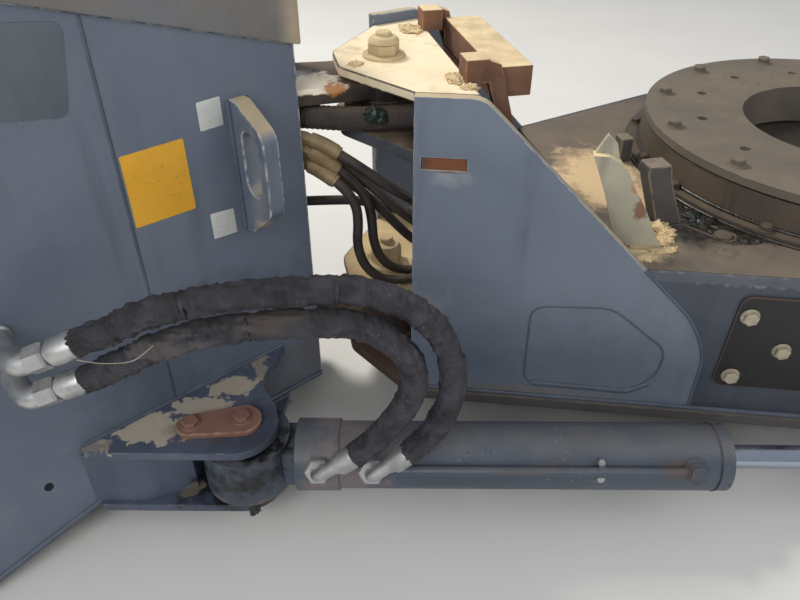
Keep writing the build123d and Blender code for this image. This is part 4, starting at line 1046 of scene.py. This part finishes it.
class Growing(Wiring):
    """A geometry tree built in the script, with its named inputs."""

    def __init__(self, name, inputs):
        super().__init__(bpy.data.node_groups.new(name, "GeometryNodeTree"))
        face = self.tree.interface
        face.new_socket("Geometry", in_out="OUTPUT", socket_type="NodeSocketGeometry")
        face.new_socket("Geometry", in_out="INPUT", socket_type="NodeSocketGeometry")
        for label, kind, value in inputs:
            socket = face.new_socket(label, in_out="INPUT", socket_type="NodeSocket" + kind)
            socket.default_value = value
        face.new_socket("Material", in_out="INPUT", socket_type="NodeSocketMaterial")
        self.given = self.tree.nodes.new("NodeGroupInput").outputs

    def node(self, kind, inputs=None, **settings):
        return self.wired(kind, inputs, settings).outputs

    def times(self, value, factor):
        return self.node("ShaderNodeMath", {0: value, 1: factor}, operation="MULTIPLY")[0]

    def lifted(self, geometry, height):
        moved = self.node("ShaderNodeCombineXYZ", {"Z": height})[0]
        return self.node("GeometryNodeTransform", {"Geometry": geometry, "Translation": moved})[0]

    def joined(self, parts):
        made = self.tree.nodes.new("GeometryNodeJoinGeometry")
        for part in parts:
            self.tree.links.new(part, made.inputs[0])
        return made.outputs[0]

    def end(self, geometry):
        real = self.node("GeometryNodeRealizeInstances", {"Geometry": geometry})[0]
        out = self.tree.nodes.new("NodeGroupOutput")
        done = self.node("GeometryNodeSetMaterial", {"Geometry": real, "Material": self.given["Material"]})[0]
        self.tree.links.new(done, out.inputs[0])
        return self.tree


def make_bolt_tree():
    values = [("Flats", "Float", 18.0), ("Height", "Float", 9.0), ("Flange", "Float", 12.0)]
    g = Growing("flanged bolts", values)
    corner, height = g.times(g.given["Flats"], 0.577), g.given["Height"]

    def cone(sides, foot, top_share, depth_share):
        sizes = {"Vertices": sides, "Radius Bottom": foot, "Radius Top": g.times(foot, top_share)}
        return g.node("GeometryNodeMeshCone", {**sizes, "Depth": g.times(height, depth_share)})[0]

    flange = cone(28, g.given["Flange"], 0.9, 0.25)
    head = g.node(
        "GeometryNodeMeshCylinder", {"Vertices": 6, "Radius": corner, "Depth": g.times(height, 0.85)}
    )["Mesh"]
    crown = cone(6, corner, 0.84, 0.15)
    bolt = g.joined([flange, g.lifted(head, g.times(height, 0.425)), g.lifted(crown, g.times(height, 0.85))])
    aim = g.node("GeometryNodeInputNamedAttribute", {"Name": "aim"}, data_type="FLOAT_VECTOR")[0]
    turn = g.node("FunctionNodeAlignRotationToVector", {"Vector": aim}, axis="Z")[0]
    points = g.node("GeometryNodeMeshToPoints", {"Mesh": g.given["Geometry"]})[0]
    placed = g.node("GeometryNodeInstanceOnPoints", {"Points": points, "Instance": bolt, "Rotation": turn})[0]
    return g.end(placed)


def make_weld_tree():
    g = Growing("weld beads", [("Radius", "Float", 3.0), ("Ripple", "Float", 0.22), ("Pitch", "Float", 1.6)])
    line = g.node("GeometryNodeMeshToCurve", {"Mesh": g.given["Geometry"]})[0]
    line = g.node(
        "GeometryNodeResampleCurve", {"Curve": line, "Length": g.given["Pitch"]}, mode="LENGTH"
    )[0]
    phase = g.times(g.node("GeometryNodeInputIndex")[0], 1.7)
    wave = g.node("ShaderNodeMath", {0: phase}, operation="SINE")[0]
    uneven = g.node("ShaderNodeTexNoise", {"Scale": 0.12, "Detail": 2.0})["Fac"]
    rise = g.node("ShaderNodeMath", {0: wave, 1: g.given["Ripple"], 2: 0.72}, operation="MULTIPLY_ADD")[0]
    size = g.node("ShaderNodeMath", {0: uneven, 1: 0.55, 2: rise}, operation="MULTIPLY_ADD")[0]
    line = g.node("GeometryNodeSetCurveRadius", {"Curve": line, "Radius": size})[0]
    ring = g.node("GeometryNodeCurvePrimitiveCircle", {"Resolution": 8, "Radius": g.given["Radius"]})[0]
    bead = g.node("GeometryNodeCurveToMesh", {"Curve": line, "Profile Curve": ring, "Fill Caps": True})[0]
    return g.end(bead)


def make_crumb_tree():
    g = Growing("dry crumbs", [("Density", "Float", 0.03), ("Size", "Float", 2.2), ("Seed", "Int", 4)])
    scattered = g.node(
        "GeometryNodeDistributePointsOnFaces",
        {"Mesh": g.given["Geometry"], "Density": g.given["Density"], "Seed": g.given["Seed"]},
    )
    stone = g.node("GeometryNodeMeshIcoSphere", {"Radius": g.given["Size"], "Subdivisions": 2})["Mesh"]
    size = g.node("FunctionNodeRandomValue", {"Seed": 11, 2: 0.25, 3: 1.15}, data_type="FLOAT")[1]
    spin = g.node("FunctionNodeRandomValue", {"Seed": 12, 1: (6.28, 6.28, 6.28)}, data_type="FLOAT_VECTOR")[0]
    placed = g.node(
        "GeometryNodeInstanceOnPoints",
        {"Points": scattered[0], "Instance": stone, "Scale": size, "Rotation": spin},
    )[0]
    real = g.node("GeometryNodeRealizeInstances", {"Geometry": placed})[0]
    rough = g.node("ShaderNodeTexNoise", {"Scale": 0.5, "Detail": 3.0})["Color"]
    shift = g.node("ShaderNodeVectorMath", {0: rough, 1: (0.5, 0.5, 0.5)}, operation="SUBTRACT")[0]
    shift = g.node("ShaderNodeVectorMath", {0: shift, "Scale": 2.6}, operation="SCALE")[0]
    moved = g.node("GeometryNodeSetPosition", {"Geometry": real, "Offset": shift})[0]
    return g.end(g.joined([moved, g.given["Geometry"]]))


BOLTS, WELDS, CRUMBS = make_bolt_tree(), make_weld_tree(), make_crumb_tree()


def grown(name, tree, shape, material, body, values, **words):
    """Bakes a geometry tree over a mesh drawn in millimetres into one plain piece."""
    mesh = bpy.data.meshes.new(name)
    shape.to_mesh(mesh)
    shape.free()
    carrier = bpy.data.objects.new(name + "_carrier", mesh)
    bpy.context.scene.collection.objects.link(carrier)
    modifier = carrier.modifiers.new("grow", "NODES")
    modifier.node_group = tree
    for item in tree.interface.items_tree:
        if item.in_out == "INPUT" and item.name in values:
            modifier[item.identifier] = values[item.name]
        if item.in_out == "INPUT" and item.name == "Material":
            modifier[item.identifier] = material
    bpy.context.view_layer.update()
    baked = bpy.data.meshes.new_from_object(carrier.evaluated_get(bpy.context.evaluated_depsgraph_get()))
    bpy.data.objects.remove(carrier)
    baked.transform(TO_ROW)
    return as_piece(name, baked, material, body, **words)


def flipped(point):
    return Vector((point[0], -point[1], point[2]))


def bolts(name, places, material, body, flats, height, flange, both=False, slot="zinc_steel"):
    """Bolt heads, each at a place with the direction it points in."""
    shape = bmesh.new()
    aims = shape.verts.layers.float_vector.new("aim")
    if both:
        places = places + [(flipped(place), flipped(aim)) for place, aim in places]
    for place, aim in places:
        shape.verts.new(place)[aims] = aim
    return grown(
        name, BOLTS, shape, material, body, {"Flats": flats, "Height": height, "Flange": flange}, slot=slot
    )


def welds(name, lines, material, body, radius, both=False, slot="frame_paint", pitch=1.6):
    """Weld beads along lines of points; a line that ends where it starts is closed."""
    shape = bmesh.new()
    if both:
        lines = lines + [[flipped(point) for point in line] for line in lines]
    for line in lines:
        closed = (Vector(line[0]) - Vector(line[-1])).length < 0.01
        verts = [shape.verts.new(point) for point in (line[:-1] if closed else line)]
        for first, second in zip(verts, verts[1:]):
            shape.edges.new((first, second))
        if closed:
            shape.edges.new((verts[-1], verts[0]))
    values = {"Radius": radius, "Pitch": pitch, "Ripple": 0.2}
    return grown(name, WELDS, shape, material, body, values, slot=slot, sharp=60)


# Welds

WALL_BACK = -555.0
WALL_SEAM = -228.0
welds(
    "nose_wall_seams",
    [[on_wall(WALL_SEAM, 112, -0.8), on_wall(WALL_SEAM, -488, -0.8)]],
    weld_paint, "rear_frame", 2.2, both=True,
)
welds(
    "bulkhead_welds",
    [[on_wall(WALL_BACK, 205, 0), on_wall(WALL_BACK, -515, 0)]],
    weld_paint, "rear_frame", 4.0, both=True,
)
welds(
    "lifting_eye_welds",
    [[on_wall(along, -2, 0), on_wall(along, -163, 0)] for along in (-92.4, -70.8)],
    weld_paint, "rear_frame", 4.0, both=True,
)
welds(
    "bracket_welds",
    [[on_wall(-351, z, 0), on_wall(-62, z, 0)] for z in (-367, -381, -464, -478)],
    weld_paint, "rear_frame", 3.4,
)
welds(
    "wing_foot_welds",
    [[on_wing(3, FLOOR_TOP + 1, 0), on_wing(596, FLOOR_TOP + 1, 0)]],
    weld_paint, "front_frame", 4.0, both=True,
)
welds(
    "yoke_welds",
    [[on_wing(6, z, -13), on_wing(74, z, -13)] for z in (YOKE_SECOND_TOP - 1, YOKE_THIRD_TOP + 1)],
    dusty_weld, "front_frame", 3.4, both=True, slot="worn_plate",
)
WING_CURVE = rounded([(291, -210, 0), (362, -280, 120), (392, -335, 120), (392, -430, 0)])
welds(
    "wing_edge_welds", [[on_wing(along, z, -0.6) for along, z in WING_CURVE]],
    weld_paint, "front_frame", 2.4, both=True,
)
POCKET = rounded(
    [(160, -409, 22), (158, -275, 24), (262, -270, 50), (342, -334, 34), (338, -376, 40), (308, -411, 26)], 6
)
pocket_line = [on_wing(along, z, -0.9) for along, z in POCKET]
welds("pocket_seams", [pocket_line + [pocket_line[0]]], weld_paint, "front_frame", 2.0, both=True)
POCKET_FOOT = rounded([(172, -409.5, 0), (304, -411.5, 20), (330, -395, 0)], 6)
welds(
    "pocket_foot_welds",
    [[on_wing(along, z, -0.6) for along, z in POCKET_FOOT]],
    weld_paint, "front_frame", 4.4, both=True,
)
STOP_FOOT = Vector((303.7, -181.3, DECK_TOP))
welds(
    "stop_plate_welds",
    [[STOP_FOOT + WING_AHEAD * a - WING_OUT * inward for a in (-14, 28)] for inward in (0, 16)],
    dusty_weld, "front_frame", 4.2, slot="worn_plate",
)
LUG_FOOT = ((350, -138), (388, -138), (388, -110), (350, -110), (350, -138))
welds(
    "lock_lug_welds",
    [[Vector((x, y, DECK_TOP)) for x, y in LUG_FOOT]],
    grease, "front_frame", 3.4, slot="greasy_steel",
)


def on_ring(turn, radius, z):
    """Point about the slewing ring's axis, its turn in radians."""
    return Vector((RING_X + radius * math.cos(turn), radius * math.sin(turn), z))


def ring_line(radius, z):
    return [on_ring(k * math.pi / 60, radius, z) for k in range(121)]


welds(
    "ring_foot_grease",
    [ring_line(RING_FLANGE_R + 0.5, DECK_TOP + 1), ring_line(RING_OUTER_R + 0.5, FLANGE_TOP + 1)],
    grease, "front_frame", 3.4, slot="greasy_steel", pitch=3.0,
)
welds(
    "nose_foot_edges", [[on_wall(WALL_BACK, -519), on_wall(-304, -455), on_wall(-2, -455)]],
    weld_paint, "rear_frame", 4.5, both=True,
)
welds(
    "clevis_welds",
    [[Vector((600, -312, -382)), Vector((750, -312, -382))]],
    weld_paint, "front_frame", 4.0,
)


def cylinder_ring(along, radius, count=40):
    turns = [2 * math.pi * k / count for k in range(count + 1)]
    return [on_cylinder(along, radius * math.cos(t), radius * math.sin(t)) for t in turns]


welds(
    "barrel_welds", [cylinder_ring(118.5, 44.0), cylinder_ring(67.5, 42.0)],
    barrel_paint, "cylinder_barrel", 2.6,
)

# Bolts

COVER_BOLTS = [(430, -266), (483, -317), (431.5, -365), (572, -266), (572, -365)]
bolts(
    "cover_bolts",
    [(on_wing(along, z, 4.2), WING_OUT) for along, z in COVER_BOLTS],
    dull_bolt, "front_frame", 17.0, 8.0, 12.0, both=True,
)
bolts(
    "keeper_bolts",
    [(on_cylinder(-62, 10.5, 64), UP), (on_cylinder(0, 0, 64), UP)],
    rusty_keeper, "rear_frame", 19.0, 8.0, 13.0, slot="rusty_steel",
)
RING_BOLT_TURNS = (9, 36.8, 64, 91, 118, 143.2, 171)
ring_bolt_turns = [side * math.radians(turn) for turn in RING_BOLT_TURNS for side in (1, -1)]
bolts(
    "ring_bolts",
    [(on_ring(turn, RING_BOLT_R, FLANGE_TOP), UP) for turn in ring_bolt_turns],
    ring_steel, "front_frame", 15.0, 9.0, 9.5,
)
bolts(
    "table_bolts",
    [(on_ring(math.radians(t), TABLE_BOLT_R, TABLE_TOP), UP) for t in range(22, 382, 30)],
    table_steel, "turntable", 19.0, 11.0, 13.0,
)

# Pivot nuts, bosses and grease


def make_nut(node, base, washer, thick, across, tall, stud):
    """Pivot nut on its washer, with a domed top and the end of the stud."""
    shape = bmesh.new()
    turned(
        shape, (0, 0, base), UP,
        [(0, 0), (0, washer), (thick - 1.4, washer), (thick, washer - 1.4), (thick, 0)], 48,
    )
    crown = across / math.sqrt(3)
    hexagon(shape, (0, 0, base + thick), UP, across, tall * 0.62, 0.3)
    dome = [(0, 0), (0, crown * 0.98), (tall * 0.12, crown * 0.94), (tall * 0.3, crown * 0.78)]
    dome += [(tall * 0.38, 10.4), (tall * 0.38, 0)]
    turned(shape, (0, 0, base + thick + tall * 0.62), UP, dome, 40)
    end = [(0, 0), (0, 10), (stud - 1.5, 10), (stud, 8.6), (stud, 0)]
    turned(shape, (0, 0, base + thick + tall), UP, end, 32)
    drawn(node + "_dressed", shape, pin_steel, "front_frame", stands_for=[node], slot="worn_plate")


make_nut("upper_pivot_nut", 0, 27, 4, 35, 22, 4.5)
make_nut("lower_pivot_nut", YOKE_THIRD_TOP, 26.5, 5, 40, 33, 8)


def ringed(shape, centre, axis, bore, profile, sides=48):
    """Ring of a profile of (along, radius) points about an axis, closed through its bore."""
    low, high = profile[0][0], profile[-1][0]
    loop = [(low, bore), *profile, (high, bore)]
    axis = Vector(axis).normalized()
    side = axis.orthogonal().normalized()
    other = axis.cross(side)
    turns = [2 * math.pi * k / sides for k in range(sides)]
    rays = [side * math.cos(turn) + other * math.sin(turn) for turn in turns]
    rows = []
    for along, radius in loop:
        middle = Vector(centre) + axis * along
        rows.append([shape.verts.new(middle + ray * radius) for ray in rays])
    for k in range(len(rows)):
        first, second = rows[k], rows[(k + 1) % len(rows)]
        for i in range(sides):
            j = (i + 1) % sides
            shape.faces.new((first[i], first[j], second[j], second[i]))
    return shape


BOSS_RING_BORE = 47.0
boss_rings = bmesh.new()
for low, high, radius in ((-50, -42, 50.0), (-69, -60, 52.5), (-337, -328, 51.0), (-430, -421, 52.0)):
    edge = radius - 1.5
    profile = [(low, edge), (low + 1.5, radius), (high - 1.5, radius), (high, edge)]
    ringed(boss_rings, (0, 0, 0), UP, BOSS_RING_BORE, profile)
drawn("boss_rings", boss_rings, greasy_steel, "rear_frame", slot="greasy_steel")


def lump(shape, centre, half, seed, rough=0.45):
    """Rough lump about a centre with its half sizes."""
    made = bmesh.ops.create_icosphere(shape, subdivisions=4, radius=1.0)["verts"]
    for vertex in made:
        push = 1 + rough * noise.fractal(vertex.co * 1.6 + Vector((seed, 0, 0)), 0.7, 2.1, 4)
        push += 0.12 * noise.noise(vertex.co * 7 + Vector((0, seed, 0)))
        vertex.co = Vector(centre) + Vector([vertex.co[k] * half[k] * push for k in range(3)])


def lumps(name, places, material, body, slot, crumbs=0.0, size=1.6):
    shape = bmesh.new()
    for seed, (centre, half) in enumerate(places):
        lump(shape, centre, half, seed * 5.3 + 1)
    if crumbs:
        values = {"Density": crumbs, "Size": size, "Seed": 5}
        return grown(name, CRUMBS, shape, material, body, values, slot=slot, sharp=80)
    return drawn(name, shape, material, body, slot=slot, sharp=80)


lumps(
    "joint_grease",
    [((-40, -48, -64), (22, 14, 7)), ((26, -52, -92), (34, 24, 7)), ((0, -52, -90), (30, 12, 6))],
    grease, "front_frame", "greasy_steel",
)
lumps(
    "deck_grease",
    [
        ((398, -122, -214), (26, 18, 7)), ((420, -140, -214), (22, 12, 6)), ((396, -96, -214), (18, 14, 8)),
        ((404, -74, -214), (12, 18, 7)), ((432, -166, -214), (18, 10, 4)), ((458, -196, -214), (26, 8, 4)),
    ],
    grease, "front_frame", "greasy_steel",
)
GREEN_LUMPS = [
    # name, body, places with their half sizes
    ("deck_green_grease", "front_frame", [((404, -130, -211), (13, 10, 9)), ((414, -142, -212), (8, 8, 5))]),
    ("pin_green_grease", "rear_frame", [
        (on_cylinder(12, 52, -44), (6, 5, 11)), (on_cylinder(9, 53, -50), (4, 4, 7)),
    ]),
    ("sleeve_green_grease", "rear_frame", [
        ((-29, -90, -40), (12, 5, 9)), ((-21, -91, -46), (7, 4, 6)), ((-36, -90, -36), (6, 4, 5)),
    ]),
]
for name, body, places in GREEN_LUMPS:
    lumps(name, places, green_grease, body, "greasy_steel")
lumps(
    "deck_dirt",
    [
        ((346, -148, -213), (16, 12, 12)), ((352, -160, -213), (14, 12, 8)), ((340, -172, -214), (16, 10, 6)),
        ((330, -196, -214), (20, 7, 4)), ((300, -150, -214), (16, 14, 4)), ((300, -204, -214), (16, 8, 4)),
    ],
    dirt, "front_frame", "worn_plate", crumbs=0.03,
)
lumps(
    "yoke_dirt",
    [
        ((64, -104, 1), (10, 16, 4)), ((74, -132, 0), (10, 8, 4)),
        ((-40, -26, 0), (10, 8, 3)), ((58, 100, 0), (16, 20, 4)),
    ],
    dirt, "front_frame", "worn_plate", crumbs=0.04, size=1.3,
)
lumps(
    "lower_dirt",
    [
        ((24, -16, -311), (14, 12, 9)), ((-22, 14, -311), (12, 12, 10)),
        ((10, 30, -311), (16, 10, 8)), ((60, -70, -312), (30, 24, 4)),
    ],
    dirt, "front_frame", "worn_plate", crumbs=0.03,
)

# Labels and the nose patch

LABELS = [
    # name, corner radius, corners on the wall as (along, up), material, low and high face, bevel, slot
    ("yellow_label", 2, [(-223.5, -113), (-151.5, -114), (-151.5, -28.5), (-223.5, -28.5)],
     yellow_label, -0.2, 0.35, 0.2, "cover_paint"),
    ("white_label_upper", 1.5, [(-130, -27.5), (-101.5, -27), (-101.5, 5.5), (-130, 5)],
     white_label, -0.2, 0.35, 0.2, "cover_paint"),
    ("white_label_lower", 1.5, [(-136, -162), (-105, -164), (-105.5, -131), (-136, -128)],
     white_label, -0.2, 0.35, 0.2, "cover_paint"),
    ("nose_patch", 12, [(-243, 110), (-260, 24), (-372, 46), (-356, 126)],
     patch_paint, -0.3, 1.0, 0.7, "frame_paint"),
]
for name, radius, corners, material, low, high, width, slot in LABELS:
    outline = rounded([(*corner, radius) for corner in corners])
    drawn(name, plate(bmesh.new(), outline, on_wall, low, high, width), material, "rear_frame", slot=slot)

# Elbows, nuts and ferrules


def crimped(shape, base, aim):
    """Crimped ferrule with its collar, from where the nut or elbow ends."""
    profile = [(0, 0), (0, 10.5), (3.5, 10.8), (4.5, 13.8), (6, 14.4)]
    profile += [(28, 14.6), (29.5, 14.2), (30, 12.5), (30, 0)]
    turned(shape, base, aim, profile, 36)


def nut_elbow(shape, foot, knee, aim):
    """Forged elbow with a round foot and the swivel nut of a hose end."""
    rise = (knee - foot).normalized()
    turned(shape, foot, rise, [(0, 0), (0, 15), (5, 15), (7, 13), (7, 0)], 32)
    bend = [foot, foot + rise * 26, knee - rise * 6, knee + aim * 6, knee + aim * 17]
    tube(shape, evened(spline_path(bend), 2.0), 12.4, 28)
    hexagon(shape, knee + aim * 14, aim, 26, 20, 0.2)
    crimped(shape, knee + aim * 34, aim)


def plain_elbow(shape, foot, knee, aim):
    """Slim bent pipe of a hose end over its nut, with a collar before the ferrule."""
    rise = (knee - foot).normalized()
    long = (knee - foot).length
    hexagon(shape, foot, rise, 30, long - 10)
    bend = [foot + rise * (long - 14), foot + rise * (long - 6)]
    bend += [knee + aim * 4, knee + aim * 16, knee + aim * 36]
    tube(shape, evened(spline_path(bend), 2.0), 8.6, 24)
    turned(shape, knee + aim * 30, aim, [(0, 0), (0, 10), (5, 10.5), (5, 0)], 28)
    crimped(shape, knee + aim * 34, aim)


wall_fittings = bmesh.new()
for place in WALL_ELBOWS:
    nut_elbow(wall_fittings, place["foot"], place["knee"], place["aim"].normalized())
drawn(
    "wall_elbows_dressed", wall_fittings, zinc, "rear_frame",
    stands_for=["wall_elbows"], slot="zinc_steel",
)

port_fittings = bmesh.new()
for place in PORT_ELBOWS:
    plain_elbow(port_fittings, place["foot"], place["knee"], place["aim"].normalized())
drawn(
    "port_elbows_dressed", port_fittings, zinc, "cylinder_barrel",
    stands_for=["port_elbows"], slot="zinc_steel",
)

# Cylinder: clip, head port and gland

clip = bmesh.new()
pipe_centre = on_cylinder(445) + PORT_RISE * 49.3
ringed(clip, pipe_centre - CYL_AHEAD * 5, CYL_AHEAD, 6.1, [(0, 7), (1, 7.4), (9, 7.4), (10, 7)], 24)
drawn("pipe_clip", clip, barrel_paint, "cylinder_barrel", slot="frame_paint")
clip_ears = bmesh.new()
for side in (-1, 1):
    ear_foot = pipe_centre + CYL_AHEAD.cross(PORT_RISE) * side * 10.5 - PORT_RISE * 8
    turned(clip_ears, ear_foot, PORT_RISE, [(0, 0), (0, 5), (6, 5), (7.5, 4), (7.5, 0)], 20)
drawn("clip_ears", clip_ears, zinc, "cylinder_barrel", slot="zinc_steel")
groove = bmesh.new()
ringed(groove, on_cylinder(594), CYL_AHEAD, 42.0, [(0, 43.5), (1.0, 43.9), (2.4, 43.5)], 64)
drawn("barrel_groove", groove, black_cover, "cylinder_barrel", slot="frame_paint")
head = bmesh.new()
port_at = on_cylinder(561)
turned(head, port_at + PORT_RISE * 40, PORT_RISE, [(0, 0), (0, 16), (6, 15), (8, 14), (8, 0)], 36)
hexagon(head, port_at + PORT_RISE * 56, PORT_RISE, 20, 5, 0.3)
drawn("head_port", head, barrel_paint, "cylinder_barrel", slot="frame_paint")
gland = bmesh.new()
gland_profile = [(0, 37), (2.5, 36), (2.5, 24), (5, 23), (7, 19), (7, 17)]
ringed(gland, on_cylinder(611), CYL_AHEAD, 15.4, gland_profile, 48)
drawn("rod_gland", gland, greasy_steel, "cylinder_barrel", slot="greasy_steel")

# Deck slot

slot_rim = bmesh.new()
slot_line = rounded([(378, -124, 15), (398, -112, 15), (446, -184, 15), (424, -198, 15)], 6)
slot_points = [Vector((x, y, DECK_TOP + 0.6)) for x, y in slot_line]
tube(slot_rim, evened(slot_points + [slot_points[0]], 3.0), 2.4, 10)
turned(slot_rim, (424, -180, DECK_TOP - 1), UP, [(0, 0), (0, 12), (5, 12), (6.5, 10.5), (6.5, 0)], 28)
drawn("deck_slot_rim", slot_rim, ring_steel, "front_frame", slot="frame_paint")

# Floor, lamps and world


def make_stage():
    material = bpy.data.materials.new("pale floor")
    material.use_nodes = True
    w = Wiring(material.node_tree)
    shader = material.node_tree.nodes["Principled BSDF"]
    shade = w.span(w.cloud(3.0, 4.0), 0.3, 0.7, 0.97, 1.02)
    tone = w.node("HueSaturation", {"Value": shade, "Color": tint(222, 220, 214)})
    w.tree.links.new(tone.outputs[0], shader.inputs["Base Color"])
    shader.inputs["Roughness"].default_value = 0.9
    low = cad_box[0][2] - 0.0005
    mesh = bpy.data.meshes.new("floor")
    mesh.from_pydata([(-7, -7, low), (8, -7, low), (8, 8, low), (-7, 8, low)], [], [(0, 1, 2, 3)])
    mesh.materials.append(material)
    floor = bpy.data.objects.new("floor", mesh)
    bpy.context.scene.collection.objects.link(floor)


def lamp(name, place, aim, size, watts, colour=(1, 1, 1)):
    data = bpy.data.lights.new(name, "AREA")
    data.shape = "DISK"
    data.size = size
    data.energy = watts
    data.color = colour
    made = bpy.data.objects.new(name, data)
    made.location = place
    made.rotation_euler = (Vector(aim) - Vector(place)).to_track_quat("-Z", "Y").to_euler()
    bpy.context.scene.collection.objects.link(made)


make_stage()
lamp("key lamp", (-0.6, 1.6, 2.6), (0.6, 0, 0), 0.9, 92, (1.0, 0.96, 0.9))
lamp("front lamp", (-0.9, -2.4, 1.7), (0.4, -0.1, -0.1), 1.8, 40, (0.95, 0.97, 1.0))
lamp("side lamp", (2.8, -1.4, 1.5), (0.8, 0, 0), 1.4, 14, (0.97, 0.98, 1.0))
world = bpy.data.worlds.new("soft studio")
bpy.context.scene.world = world
world.use_nodes = True
world.node_tree.nodes["Background"].inputs["Color"].default_value = (0.83, 0.86, 0.91, 1)
world.node_tree.nodes["Background"].inputs["Strength"].default_value = 0.55
bpy.context.scene.view_settings.view_transform = "Standard"
